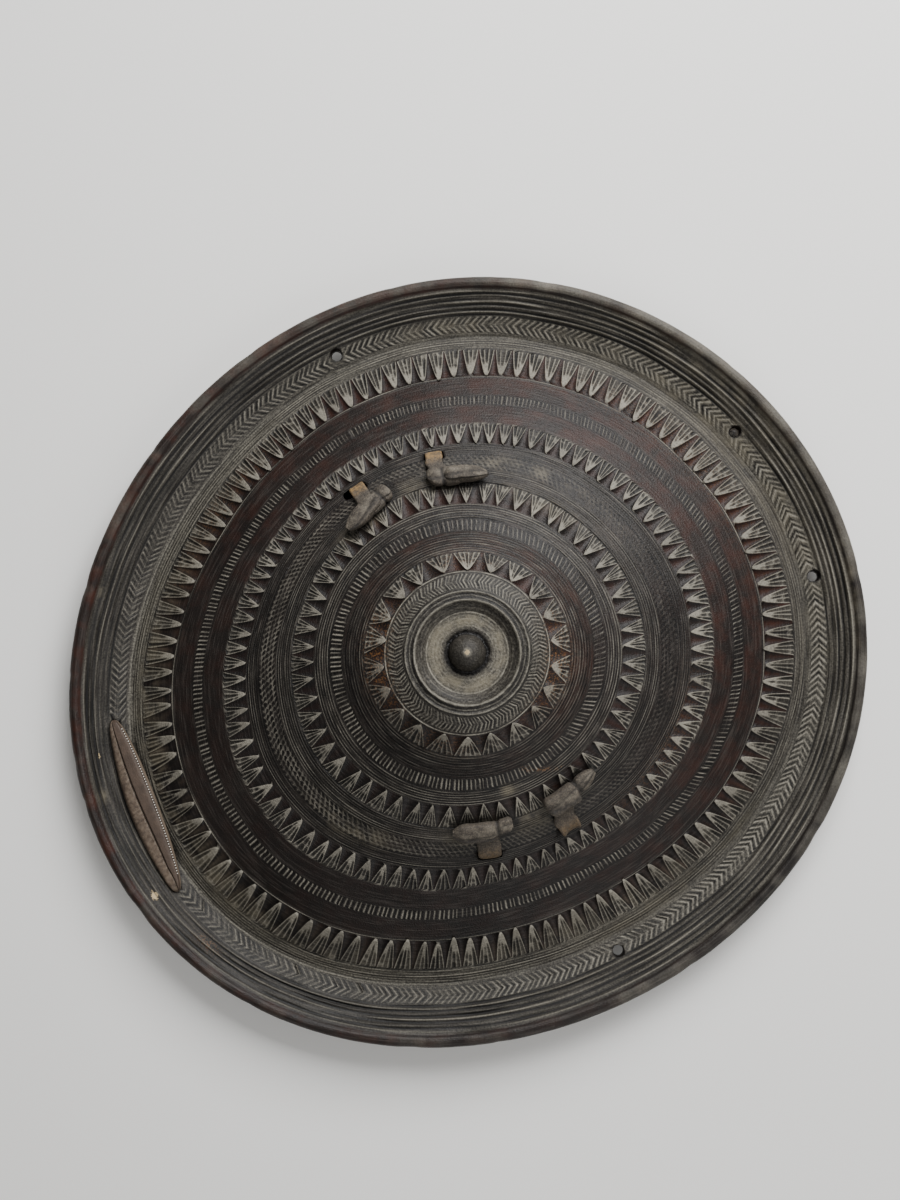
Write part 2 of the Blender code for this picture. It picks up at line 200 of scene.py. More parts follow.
def addNode(tree, kind, out=0, inputs=None, **settings):
    # One node with its settings; inputs are numbers, colours or other nodes' outputs
    node = tree.nodes.new("ShaderNode" + kind)
    for name, value in settings.items():
        setattr(node, name, value)
    for socket, value in (inputs or {}).items():
        if isinstance(value, bpy.types.NodeSocket):
            tree.links.new(value, node.inputs[socket])
        else:
            node.inputs[socket].default_value = linear(value) if isinstance(value, str) else value
    return node.outputs[out]


def newMaterial(name, specular=0.5):
    material = bpy.data.materials.new(name)
    material.use_nodes = True
    tree = material.node_tree
    shader = tree.nodes["Principled BSDF"]
    shader.inputs["Specular IOR Level"].default_value = specular
    return material, tree, shader


def channels(tree, name):
    # The three values that each point of the mesh carries under a name
    carried = addNode(tree, "Attribute", 1, attribute_name=name)
    return list(addNode(tree, "SeparateXYZ", 0, {0: carried}).node.outputs)


def layered(tree, color, layers):
    # Colours laid one over another. Each has a pattern, the two values of it between which the cover changes, the
    # cover at both, what the cover is multiplied by, and the colour. Returns the result and the covers.
    covers = []
    for pattern, low, high, least, most, limit, top in layers:
        cover = addNode(tree, "MapRange", 0, {0: pattern, 1: low, 2: high, 3: least, 4: most})
        if limit is not None:
            cover = addNode(tree, "Math", 0, {0: cover, 1: limit}, operation="MULTIPLY")
        color = addNode(tree, "Mix", 2, {0: cover, 6: color, 7: top}, data_type="RGBA")
        covers.append(cover)
    return color, covers


def finish(tree, shader, color, roughness, relief, distance):
    # Colour, roughness, and a bump of patterns added up by their shares
    height = 0.0
    for pattern, share in relief:
        height = addNode(tree, "Math", 0, {0: pattern, 1: share, 2: height}, operation="MULTIPLY_ADD")
    bump = addNode(tree, "Bump", 0, {"Height": height, "Distance": distance, "Strength": 1.0})
    for socket, value in (("Base Color", color), ("Roughness", roughness), ("Normal", bump)):
        tree.links.new(value, shader.inputs[socket])


# Shell

shell = {
    "seed": 41,
    "wander": 0.45,             # how far the rings wander by hand, mm
    "dents": 0.25,              # unevenness of the whole face, mm
    "lineColumns": 244,
    "backColumns": 160,
    "ribWidth": 0.30,           # of a rib inside a tooth, as a share of the ribs' pitch
    "holeDiameter": 8.4,
    "strapHoleDiameter": 7.0,
    "holeRadius": 265.5,        # of the ring that the holes are bored on
    "openHoles": (13.2, 113.2, 297.4),       # where each hole lies, in degrees
    "pluggedHole": 40.0,
    "strapHoles": (191.0, 218.2),
    # the tone in the holes and slots is near black painted shade on their walls
    "cutLooks": (-0.7, 0.3, 0.1),     # tone, red and dust in the holes and slots, and on the plug
    "plugLooks": (0.15, 0.3, 0.5),
    # knocks in the rolled edge: angle, width and depth in mm
    "rimChips": ((12, 5, 0.5), (47, 3, 0.4), (78, 6, 0.6), (101, 4, 0.4), (126, 7, 0.5), (147, 4, 0.6), (169.6, 5, 0.9),
                 (183, 3, 0.5), (195, 5, 0.7), (201, 4, 0.9), (217.8, 7, 1.0), (238, 4, 0.5), (262, 8, 0.6),
                 (275, 4, 0.5), (306, 5, 0.5), (333, 6, 0.6)),
    # marks of age: angle, radius, size along and across the ring in mm, strength
    "dye": ((184, 64, 34, 9, 1.0), (352, 64, 34, 9, 0.9), (95, 66, 26, 7, 0.35), (255, 66, 30, 7, 0.4),
            (160, 69.7, 5, 3, 1.0), (228, 278, 10, 4, 0.5), (45, 228, 120, 12, 0.30), (150, 232, 70, 9, 0.35),
            (335, 166, 60, 8, 0.25)),
    "pale": ((286, 104, 8, 4, 0.9), (128, 128, 16, 8, 0.7), (100, 133, 22, 7, 0.7), (272, 133, 22, 8, 0.6),
             (297, 134, 22, 9, 0.7), (60, 124, 50, 7, 0.3), (236, 146, 26, 7, 0.5), (75, 146, 60, 5, 0.4),
             (12, 290, 60, 3, 0.3), (310, 250, 90, 5, 0.3), (40, 262, 150, 12, 0.35), (45, 282, 130, 8, 0.3),
             (0, 23.4, 999, 4.5, 0.75), (169.6, 285, 2.5, 1.5, 0.7), (200.8, 283, 4, 2.5, 0.6),
             (205, 237, 170, 12, 0.55), (300, 236, 120, 10, 0.25), (90, 262, 60, 5, 0.3)),
    "buff": ((0, 0, 99, 2.2, 0.9), (217.8, 282.0, 3.2, 3.4, 0.96), (215.6, 281, 2, 1.5, 0.8), (195, 279, 1.6, 1.2, 0.6),
             (201.5, 283, 1.5, 1, 0.6), (262, 292, 1.5, 1, 0.5), (123, 231, 2, 2, 0.6)),
    "scratch": ((295.0, 91.7), (309.3, 108.1)),      # angle and radius of its ends
}

chance = np.random.default_rng(shell["seed"])
skin = {"rows": [], "faces": [], "count": 0}


def drift(angle, slowest, fastest):
    # Seamless wander around the disc, about -1 to 1
    total = np.zeros_like(angle)
    weight = 0.0
    for waves in range(slowest, fastest + 1):
        size = chance.normal() / math.sqrt(waves)
        total = total + size * np.cos(waves * angle + chance.uniform(0, fullTurn))
        weight += 0.5 / waves
    return total / math.sqrt(weight) / 1.5


def addRow(last, radius, angle, height, tone=0.0, red=0.0, dust=0.0):
    # One closed row of points, joined to the last one. Tone is 1 on a worn ridge; below zero it is painted
    # shade in cuts, grooves and gaps, down to -1 in the deepest cut.
    skin["rows"].append(np.stack(np.broadcast_arrays(radius, angle, height, tone, red, dust), axis=1).astype(float))
    row = {"points": skin["count"] + np.arange(len(angle)), "angle": angle}
    skin["count"] += len(angle)
    if last is not None:
        joinRows(last, row)
    return row


def lace(first, firstKeys, second, secondKeys):
    # Triangles between two strings of points, in the order of their keys
    i = j = 0
    while i < len(first) - 1 or j < len(second) - 1:
        if j == len(second) - 1 or (i < len(first) - 1 and firstKeys[i + 1] < secondKeys[j + 1]):
            skin["faces"].append((first[i], second[j], first[i + 1]))
            i += 1
        else:
            skin["faces"].append((first[i], second[j], second[j + 1]))
            j += 1


def joinRows(inner, outer):
    a, b = inner["points"], outer["points"]
    if len(a) == len(b) and np.abs(inner["angle"] - outer["angle"]).max() < 4 * fullTurn / len(a):
        quads = np.stack([a, b, np.roll(b, -1), np.roll(a, -1)], axis=1)
        skin["faces"].extend(map(tuple, quads.tolist()))
        return
    start = inner["angle"][0]
    gap = (outer["angle"] - start + math.pi) % fullTurn - math.pi
    turn = int(np.argmin(np.abs(gap)))
    b = np.roll(b, -turn)
    keys = start + gap[turn] + np.unwrap(np.roll(outer["angle"], -turn)) - outer["angle"][turn]
    lace([*a, a[0]], [*np.unwrap(inner["angle"]), start + fullTurn], [*b, b[0]], [*keys, keys[0] + fullTurn])


def turnedRows(last, points, columns, wear=0.5):
    # Rings turned all the way round: radius, lift over the face, tone, red and dust of each
    angle = around(columns)
    for radius, lift, tone, red, dust in points:
        fade = 1 + wear * drift(angle, 2, 40)
        last = addRow(last, radius, angle, faceHeight(radius) + lift * fade, tone * np.clip(fade, 0, 1.6), red, dust)
    return last


def plainBand(last, start, end, rows, red):
    # Smooth waxed hide, hardly lined
    points = [(start + (end - start) * (i + 0.5) / rows, 0.05 * (-1) ** i, 0.05, red, 0.03) for i in range(rows)]
    return turnedRows(last, points, 192, 1.0)


def lineBand(last, start, end, count, lift, red, dust, columns=None, crest=0.55, floor=-0.9):
    # Fine lines cut side by side, each with a narrow crest
    pitch = (end - start) / count
    points = []
    for i in range(count):
        size = lift * chance.uniform(0.5, 1.3)
        bright = crest * chance.uniform(0.35, 1.4)
        points += [(start + pitch * (i + 0.05), -size, floor, red, dust),
                   (start + pitch * (i + 0.42), size * 0.6, bright, red * 0.4, dust),
                   (start + pitch * (i + 0.72), size * 0.2, 0.0, red, dust)]
    return turnedRows(last, points, columns or shell["lineColumns"], 0.7)


def strokeRows(last, start, end, count, lean, lift, red, dust, chevron, bunch=0.0):
    # A band of strokes: chevrons that point the way of growing angle, or ticks that lean
    columns = count * 2
    steps = (0.0, 0.06, 0.28, 0.5, 0.72, 0.94, 1.0) if chevron else (0.0, 0.1, 0.5, 0.9, 1.0)
    base = around(columns)
    base = base + bunch * np.cos(base)
    jitter = np.repeat(chance.normal(0, 0.10, count), 2) * fullTurn / count
    strength = np.repeat(chance.uniform(0.7, 1.12, count), 2)
    crest = np.tile([1.0, -1.0], count)
    if not chevron:
        lean = lean * (toward(base, 15) > 0.55) + 0.1 * lean * drift(base, 2, 9)
    # ticks are darker on the side facing the key light and paler on the far side: painted shade and painted light
    bright = 0.75 if chevron else 0.72 - 0.22 * toward(base, 50)
    for share in steps:
        reach = 1 - abs(2 * share - 1) if chevron else share - 0.5
        angle = base + jitter + lean * reach
        inside = 0.0 if share in (0.0, 1.0) else 1.0
        fade = strength * (1 + 0.4 * drift(base, 3, 60))
        radius = start + (end - start) * share
        height = faceHeight(radius) + lift * crest * inside * fade
        tone = np.where(crest > 0, bright, -0.95) * inside * fade - 0.25 * (1 - inside)
        last = addRow(last, radius, angle, height, tone, red, dust)
    return last


def toothRing(last, start, end, count, form):
    # Raised teeth, points inwards. Ribs fan out from each point, and the flat cuts between them open to the root.
    pitch = fullTurn / count
    rows, cuts = form["rows"], form["ribs"] - 1
    middle = pitch * (np.arange(count) + 0.5 + chance.normal(0, form["uneven"], count))
    nextMiddle = np.append(middle[1:], middle[0] + fullTurn)
    half = np.minimum(nextMiddle - middle, np.roll(nextMiddle - middle, 1)) / 2
    apex = chance.normal(0, form["uneven"], count) * (end - start)
    tilt = chance.normal(0, form["uneven"], count) * pitch
    bright = chance.uniform(0.72, 1.12, count)
    opens = np.repeat(form["open"] + chance.uniform(-0.20, 0.22, (count, cuts)), 2, axis=1)
    depth = np.repeat(chance.uniform(0.6, 1.12, (count, cuts)), 2, axis=1)
    bridge = np.repeat(chance.uniform(0, 1, (count, rows + 1, cuts)) < form["bridges"], 2, axis=2)
    ribs = np.linspace(-1, 1, cuts + 1)
    ribs = ribs + chance.normal(0, 0.20 / cuts, (count, cuts + 1)) * (np.abs(ribs) < 0.99)
    left, right, width = ribs[:, :-1], ribs[:, 1:], shell["ribWidth"]
    floor = np.stack([left * (1 - width) + right * width, left * width + right * (1 - width)], 2)
    across = np.hstack([ribs, floor.reshape(count, -1)])
    order = np.argsort(np.hstack([np.arange(cuts + 1) * 3, (np.arange(cuts)[:, None] * 3 + (1, 2)).ravel()]))
    across = across[:, order]
    edge = np.abs(across) > 0.99
    for k in range(rows + 1):
        share = k / rows
        breadth = half * (form["tip"] + (form["foot"] - form["tip"]) * share ** form["flare"])
        relief = form["relief"] * (1 - share * 0.85)
        opening = np.clip((share - opens) / 0.16, 0, 1) * depth * np.where(bridge[:, k], 0.3, 1.0)
        cut = np.hstack([np.zeros((count, cuts + 1)), opening])[:, order]
        inside = middle[:, None] + across * breadth[:, None] + tilt[:, None] * (1 - share)
        near = inside[:, -1]
        far = nextMiddle + (np.roll(tilt, -1) * (1 - share) - np.roll(breadth, -1))
        bank = np.minimum(form["bank"] * pitch, (far - near) * 0.3)
        gap = np.stack([near + bank, (near + far) / 2, far - bank], axis=1)
        ones = np.ones((count, 3))
        # opened cuts and the banks of each gap get deep painted shade, the middle of a gap less
        worn = np.where(edge, 1.0, 0.85) * bright[:, None] * (1 - cut) - 0.75 * cut
        tone = np.hstack([worn, ones * (-0.85, -0.3, -0.85)]).ravel()
        angle = np.hstack([inside, gap]).ravel()
        lift = np.hstack([relief - form["cut"] * cut - 0.25 * (1 - edge) * share, ones * (0.1, -0.15, 0.1)]).ravel()
        hollow = np.hstack([cut * 0, ones]).ravel()
        shift = np.hstack([apex[:, None] * (1 - share) + across * 0, ones * 0]).ravel()
        radius = start + (end - start) * share + shift
        last = addRow(last, radius, angle, faceHeight(radius) + lift, tone, form["red"] * hollow,
                      form["dust"] * (1 - hollow))
    return last


def hatchRows(last, start, end, cells, rows, lift, red, dust):
    # Crossed fine lines that leave small diamonds
    for k in range(rows + 1):
        angle = fullTurn * (np.arange(cells * 2) + (k % 2) / 2) / (cells * 2)
        pit = (np.arange(cells * 2) + k // 2) % 2 == 0 if k % 2 == 0 else np.zeros(cells * 2, bool)
        fade = 1 + 0.5 * drift(angle, 3, 40)
        radius = start + (end - start) * k / rows + chance.normal(0, 0.25, cells * 2)
        height = faceHeight(radius) + lift * np.where(pit, -1.6, 0.6) * fade
        # the ridges between pits are darker towards the key light and paler away from it: painted shade and painted
        # light
        last = addRow(last, radius, angle + chance.normal(0, 0.08, cells * 2) * fullTurn / cells / 2, height,
                      np.where(pit, -1.0, 0.26 - 0.12 * toward(angle, 20)) * fade, red, dust)
    return last


teeth = {
    # rows and ribs of a tooth with its flanks, its breadth at the tip and the foot, how far below the point the cuts
    # open, how often a cut is bridged, and the bank beside it as a share of the pitch
    "inner": {"rows": 9, "ribs": 6, "tip": 0.04, "foot": 0.93, "flare": 0.68, "relief": 1.4, "cut": 1.0,
              "open": 0.30, "bridges": 0.16, "bank": 0.030, "uneven": 0.035, "red": 1.0, "dust": 0.3},
    "middle": {"rows": 7, "ribs": 5, "tip": 0.04, "foot": 0.92, "flare": 0.86, "relief": 1.4, "cut": 0.9,
               "open": 0.30, "bridges": 0.16, "bank": 0.045, "uneven": 0.045, "red": 0.8, "dust": 0.3},
    "outer": {"rows": 7, "ribs": 4, "tip": 0.06, "foot": 0.90, "flare": 0.75, "relief": 1.4, "cut": 0.9,
              "open": 0.34, "bridges": 0.10, "bank": 0.060, "uneven": 0.045, "red": 0.7, "dust": 0.3},
    "foot": {"rows": 9, "ribs": 4, "tip": 0.10, "foot": 0.90, "flare": 0.62, "relief": 1.6, "cut": 1.0,
             "open": 0.28, "bridges": 0.08, "bank": 0.055, "uneven": 0.045, "red": 1.0, "dust": 0.55},
}


def shellFace():
    # Row by row from the knob to the rolled edge
    knobRadius, knobHeight, columns = 12.8, 13.0, 96
    turns = (82, 72, 60, 48, 37, 26, 16, 7, 0)
    first = addRow(None, 0.0, np.zeros(1), faceHeight(0) + knobHeight, 1.0, 0.0, 0.5)
    knob = [(knobRadius * math.cos(math.radians(turn)), knobHeight * math.sin(math.radians(turn)),
             0.7 if turn > 75 else 0.14, 0.0, 0.25) for turn in turns]
    last = turnedRows(None, knob, columns, 0.0)
    ring = last["points"][0] - columns * (len(turns) - 1) + np.arange(columns)
    skin["faces"].extend((first["points"][0], int(a), int(b)) for a, b in zip(ring, np.roll(ring, -1)))
    # The first floor rows round the foot of the knob are dark with painted contact shadow
    floor = [(13.4, -0.7, -1.0, 0, 0.0), (14.4, -1.2, -1.0, 0, 0.0), (15.8, -0.5, -0.7, 0, 0.3),
             (16.9, 0.1, 0.0, 0, 0.6), (18.0, 0.0, -0.1, 0, 0.8), (19.2, 0.15, 0.4, 0, 1.0),
             (20.4, -0.05, -0.1, 0, 1.0), (21.6, 0.15, 0.35, 0, 1.0), (22.9, 0.0, 0.0, 0, 1.0),
             (24.1, 0.15, 0.4, 0, 1.0), (25.4, 0.0, 0.0, 0, 1.0), (26.6, 0.15, 0.3, 0, 1.0),
             (27.8, -0.1, -0.3, 0, 0.9), (28.8, 0.25, 0.8, 0, 0.9)]
    wall = [(29.8, -0.15, -0.4, 0, 0.55), (31.0, 0.0, -0.15, 0, 0.55), (32.1, 0.3, 0.3, 0, 0.5),
            (33.1, -0.15, -0.4, 0, 0.5), (34.3, 0.1, -0.1, 0, 0.55), (35.5, 0.0, -0.2, 0, 0.5),
            (36.4, 0.7, 0.4, 0, 0.6), (37.3, 1.2, 0.8, 0, 0.7), (38.4, 0.4, -0.5, 0, 0.4),
            (39.4, -0.2, -0.9, 0, 0.35), (40.4, 0.25, 0.4, 0, 0.5), (41.4, -0.2, -0.8, 0, 0.35),
            (42.5, 0.5, 0.0, 0, 0.5), (43.5, 1.2, 0.7, 0, 0.7), (44.5, 0.2, -0.7, 0, 0.4)]
    last = turnedRows(last, floor, 128, 0.4)
    last = turnedRows(last, wall, 160, 0.35)
    last = strokeRows(last, 45.3, 56.4, 120, 0.055, 0.38, 0.0, 0.50, True)
    last = turnedRows(last, [(57.0, -0.2, -0.7, 0, 0.3), (57.8, 0.5, 0.9, 0, 0.6), (58.7, -0.1, -0.6, 0.4, 0.2)], 240)
    last = toothRing(last, 59.3, 72.5, 22, teeth["inner"])
    last = turnedRows(last, [(73.4, -0.2, -0.7, 0.4, 0.1), (74.6, 0.3, 0.4, 0.3, 0.2)], 224)
    last = lineBand(last, 75.4, 89.2, 7, 0.34, 0.6, 0.08, 216, 0.30)
    last = strokeRows(last, 90.2, 99.3, 184, 0.030, 0.36, 0.1, 0.04, False, -0.06)
    last = lineBand(last, 100.2, 111.3, 6, 0.34, 0.2, 0.14, 216, 0.40)
    last = toothRing(last, 112.1, 127.4, 58, teeth["middle"])
    last = lineBand(last, 128.4, 139.6, 7, 0.30, 0.15, 0.14, None, 0.36)
    last = hatchRows(last, 140.6, 151.2, 220, 8, 0.14, 0.1, 0.04)
    last = lineBand(last, 152.0, 161.4, 6, 0.28, 0.15, 0.08, None, 0.3)
    last = toothRing(last, 162.1, 176.8, 92, teeth["outer"])
    last = plainBand(last, 177.6, 192.8, 6, 0.6)
    last = strokeRows(last, 193.6, 201.6, 380, 0.012, 0.30, 0.1, 0.03, False, 0.06)
    last = plainBand(last, 202.3, 217.4, 6, 0.6)
    last = turnedRows(last, [(217.6, -0.1, -0.5, 0.2, 0.1), (218.3, 0.3, 0.6, 0, 0.3), (219.0, 0, -0.5, 0.3, 0.1)], 460)
    last = toothRing(last, 219.3, 242.5, 115, teeth["foot"])
    last = lineBand(last, 244.0, 256.8, 6, 0.42, 0.0, 0.85, None, 0.42, -0.6)
    last = strokeRows(last, 257.5, 269.4, 336, 0.024, 0.40, 0.0, 0.62, True)
    flutes = []
    for start, bright in ((270.4, 0.30), (273.8, 0.10), (277.3, 0.42), (281.1, 0.06), (284.8, 0.34)):
        flutes += [(start, -0.6, -0.9, 0, 0.12), (start + 1.0, 0.2, 0.1, 0, 0.42),
                   (start + 1.6, 0.9, bright * 1.3, 0, 0.5), (start + 2.2, 0.5, 0.22, 0, 0.45)]
    last = turnedRows(last, flutes, 240, 0.9)
    return rimRows(last)


def rimRows(last):
    # The rolled edge, chipped here and there, and on to its underside
    middle, size = 292.75, 4.75
    angle = around(380)
    crease = 0.07 * drift(angle, 30, 160)
    knocks = np.zeros_like(angle)
    for place, width, depth in shell["rimChips"]:
        knocks += depth * np.exp(-(angleFrom(angle, place) * middle / width) ** 2)
    # The upper side of the roll is made paler, most towards the upper right where the key light falls: partly rubbed
    # wear, partly painted highlight
    rubbedAndHighlight = 0.13 + 0.09 * drift(angle, 3, 50) + 0.12 * np.clip(toward(angle, 65) + 0.2, 0, 1)
    for turn in (150, 124, 98, 74, 50, 26, 4, -20, -48, -90):
        side = math.radians(turn)
        reach = size + crease * math.cos(math.radians(turn - 40)) - 0.1 - knocks * math.cos(math.radians(turn - 30))
        tone = rubbedAndHighlight * (20 < turn < 130) + 0.8 * crease + 0.1 * np.clip(knocks, 0, 1)
        last = addRow(last, middle + reach * math.cos(side), angle, ends["rimRoll"][1] + reach * math.sin(side),
                      tone, 1.0 if turn > 20 else 0.5, 0.04)
    return last


def shellBack(last):
    # Plain hide, seen from behind: the seat ring, the hollow slope and the dome of the boss
    for radius in (288, 283, 278, 272, 266, 261, 258.5, 254, 249.5, 246, 240, 230, 219, 207, 195, 183, 171, 159, 147,
                   135, 123, 111, 100, 89, 78, 67, 57, 47, 38, 29, 20, 11):
        columns = shell["backColumns"] if radius > 60 else 80 if radius > 25 else 32
        angle = around(columns)
        flat = abs(radius - seatRadius) < disc["seatWidth"] / 2 + 0.5
        lump = 0.0 if flat else 0.25 * drift(angle, 2, 30)
        last = addRow(last, radius, angle, backHeight(radius) + lump, 0.15 * drift(angle, 3, 50), 0.5, 0.3)
    centre = addRow(None, 0.0, np.zeros(1), backHeight(0), 0.0, 0.5, 0.3)["points"][0]
    points = last["points"]
    skin["faces"].extend((int(a), centre, int(b)) for a, b in zip(points, np.roll(points, -1)))


def handWaves(radius, angle, size, pieces, shortest):
    # Slow unevenness over the whole face
    total = np.zeros_like(radius)
    x, y = radius * np.cos(angle), radius * np.sin(angle)
    for piece in range(pieces):
        way, length = chance.uniform(0, fullTurn), shortest * chance.uniform(1, 4)
        total += np.cos((x * math.cos(way) + y * math.sin(way)) * fullTurn / length + chance.uniform(0, fullTurn))
    return total * size / math.sqrt(pieces)


def meshFrom(name, points, faces):
    mesh = bpy.data.meshes.new(name)
    mesh.from_pydata(points, [], faces)
    mesh.polygons.foreach_set("use_smooth", [True] * len(mesh.polygons))
    mesh.update()
    return mesh


def facingOut(mesh):
    # Faces of every closed part turned outwards
    shape = bmesh.new()
    shape.from_mesh(mesh)
    bmesh.ops.recalc_face_normals(shape, faces=shape.faces)
    shape.to_mesh(mesh)
    shape.free()
    return mesh


def setAttribute(mesh, name, values):
    attribute = mesh.attributes.new(name, "FLOAT_VECTOR", "POINT")
    attribute.data.foreach_set("vector", np.asarray(values, np.float32).ravel())


def link(name, mesh):
    piece = bpy.data.objects.new(name, mesh)
    bpy.context.scene.collection.objects.link(piece)
    return piece


def holeRims(points, looks):
    # The hide stands up a little around each bored hole. Painted shade darkens it at the hole's mouth.
    for angle in (*shell["openHoles"], shell["pluggedHole"], *shell["strapHoles"]):
        centre = onDisc(shell["holeRadius"], math.radians(angle))
        far = np.hypot(points[:, 0] - centre.x, points[:, 1] - centre.y) / mm
        near = (points[:, 2] > faceHeight(shell["holeRadius"]) * mm - 0.004) & (far < 9)
        swell = np.exp(-((far - 5.5) / 1.2) ** 2) * near
        calm = np.clip(1.35 - far / 9, 0, 1) * near
        looks[:, 0] = looks[:, 0] * (1 - calm) + 0.35 * swell - 0.8 * np.exp(-(far / 4.4) ** 6) * near
        points[:, 2] += 0.5 * swell * mm


def holeCutter():
    # Plugs of the holes and slots, for cutting them out of the disc
    parts, looks = [], []
    corners = around(28)
    level = float(faceHeight(shell["holeRadius"])) * mm
    for angle in (*shell["openHoles"], *shell["strapHoles"], shell["pluggedHole"]):
        centre = onDisc(shell["holeRadius"], math.radians(angle))
        plugged = angle == shell["pluggedHole"]
        radius = shell["strapHoleDiameter" if angle in shell["strapHoles"] else "holeDiameter"] / 2 * mm
        rings = [(-0.0007, 0.78), (-0.0022, 0.88)] if plugged else [(-0.02, 0.96), (-0.01, 0.96)]
        rings += [(-0.0012, 0.96), (0.0002, 1.0), (0.0012, 1.12), (0.006, 1.3)]
        for rise, size in rings:
            looks += [shell["plugLooks" if plugged and size == 0.78 else "cutLooks"]] * len(corners)
        parts.append(loft([[centre + Vector((math.cos(turn) * radius * size, math.sin(turn) * radius * size,
                                             level + rise)) for turn in corners] for rise, size in rings]))
    for name, (near, far) in grip["slotReach"].items():
        slot = slotOf(name)
        out = Vector((slot.x - knobAxis.x, slot.y - knobAxis.y, 0)).normalized()
        side = Vector((-out.y, out.x, 0))
        sections = []
        for rise, spread in ((-0.03, 0.0), (-0.001, 0.0), (0.0012, 0.0009), (0.012, 0.004)):
            section = []
            for turn in around(32):
                x, y = squarish(turn, 0.45, 0.45)
                x, y = x * (grip["slotWidth"] / 2 * mm + spread), y * ((far - near) / 2 * mm + spread)
                section.append(slot + out * x + side * (y + (near + far) / 2 * mm) + up * rise)
            sections.append(section)
        parts.append(loft(sections))
    cutter = link("hole_cutter", facingOut(meshFrom("hole_cutter", *joined(parts))))
    looks += [shell["cutLooks"]] * (len(cutter.data.vertices) - len(looks))
    setAttribute(cutter.data, "looks", looks)
    return cutter


def underStraps(points, looks):
    # Painted contact shade on the hide round the rolls of the grip and round the edge strap
    lines = []
    for name in grip["slotReach"]:
        seat, longWay = seatOf(name)[::2]
        half = longWay * grip["rollHalf"] * mm
        lines.append((seat - half, seat + half, grip["contactShadeReach"]))
    first, last = edgeStrapLine()[:2]
    lines.append((first.lerp(last, 0.15), first.lerp(last, 0.85), edgeStrap["contactShadeReach"]))
    for start, end, reach in lines:
        way = np.array((end - start)[:2])
        aside = points[:, :2] - np.array(start[:2])
        share = np.clip(aside @ way / (way @ way), 0, 1)
        far = np.linalg.norm(aside - share[:, None] * way, axis=1) / mm
        paintedShade = 0.6 * np.clip((reach + 1.6 - far) / 1.6, 0, 1)
        looks[:, 0] = looks[:, 0] * (1 - paintedShade) - 0.9 * paintedShade


def agedMarks(radius, angle):
    # How much dye, paleness and bare buff hide shows at each point
    marks = np.zeros((len(radius), 3))
    first, last = np.array(shell["scratch"])
    scratch = [(*(first + (last - first) * share), 1.6, 0.9, 1.0) for share in np.linspace(0, 1, 16)]
    for column, spots in enumerate(((*shell["dye"], *scratch), shell["pale"], shell["buff"])):
        for place, ring, along, across, strength in spots:
            aside = angleFrom(angle, place) * radius
            size = strength * np.exp(-(aside / along) ** 2 - ((radius - ring) / across) ** 2)
            marks[:, column] = np.maximum(marks[:, column], size)
    return marks


def buildShell():
    shellBack(shellFace())
    radius, angle, height, *looks = np.concatenate(skin["rows"]).T
    looks = np.stack(looks, axis=1)
    inside = radius < 285
    bend = handWaves(radius, angle, shell["wander"], 12, 60.0) * np.clip((radius - 30) / 60, 0, 1) * inside
    height = height + handWaves(radius, angle, shell["dents"], 14, 35.0) * (height > 0.5) * (radius > 20) * inside
    real = warpedRadius(radius, angle) + bend
    points = np.stack([real * np.cos(angle) * mm + knobAxis.x, real * np.sin(angle) * mm + knobAxis.y,
                       np.maximum(height, 0.0) * mm], axis=1)
    holeRims(points, looks)
    underStraps(points, looks)
    # red shows most at the left of the rim and the upper right of the slope; beyond 257 mm the dust and rubbed
    # ridges are paler towards the right and darker towards the left, between 242.5 and 257 mm the other way round
    looks[:, 1] *= np.where(radius > 286, 0.42 + 0.4 * toward(angle, 165), 0.62 + 0.38 * toward(angle, 55))
    paler = 1 + np.select([radius > 257, radius > 242.5], [0.35, -0.28]) * toward(angle, 20)
    looks[:, 2] *= paler
    looks[:, 0] = np.where(looks[:, 0] > 0, looks[:, 0] * paler, looks[:, 0])
    mesh = meshFrom("hide_shell_looks", points.tolist(), skin["faces"])
    setAttribute(mesh, "looks", looks)
    marks = agedMarks(radius, angle)
    marks[points[:, 2] < 0.001 * (backHeight(radius) + 2)] = 0
    setAttribute(mesh, "marks", marks)
    setAttribute(mesh, "ringPlace", np.stack([np.cos(angle), np.sin(angle), radius * mm], axis=1))
    material = hideMaterial()
    mesh.materials.append(material)
    piece = link("carved_hide_disc", mesh)
    cutter = holeCutter()
    cutter.data.materials.append(material)
    cut = piece.modifiers.new("holes", "BOOLEAN")
    cut.operation = "DIFFERENCE"
    cut.solver = "MANIFOLD"
    cut.object = cutter
    bpy.context.view_layer.update()
    piece.data = bpy.data.meshes.new_from_object(piece.evaluated_get(bpy.context.evaluated_depsgraph_get()))
    piece.modifiers.clear()
    bpy.data.objects.remove(cutter)
    return piece


# Straps: what the grip and the edge strap share

def rounded(place, side, normal, width, thickness, curl=0.0, points=18):
    # Section of a strap with rounded edges; curl bends it towards its normal, in radians each side of the middle
    section = []
    for turn in around(points):
        across, over = squarish(turn, 0.45, 0.75)
        over = over * thickness / 2
        x, rise = across * width / 2, over
        if curl:
            arm = width / 2 / curl
            x, rise = (arm - over) * math.sin(curl * across), arm - (arm - over) * math.cos(curl * across)
        section.append(place + side * x + normal * rise)
    return section


def strips(rings, size):
    # Faces between rings of points, one after the other
    return [(k * size + i, k * size + (i + 1) % size, (k + 1) * size + (i + 1) % size, (k + 1) * size + i)
            for k in range(rings - 1) for i in range(size)]


def caps(rings, size):
    return [tuple(reversed(range(size))), tuple(range((rings - 1) * size, rings * size))]


def loft(sections):
    # Points and faces of a closed skin through the sections
    count, size = len(sections), len(sections[0])
    return [point for section in sections for point in section], caps(count, size) + strips(count, size)


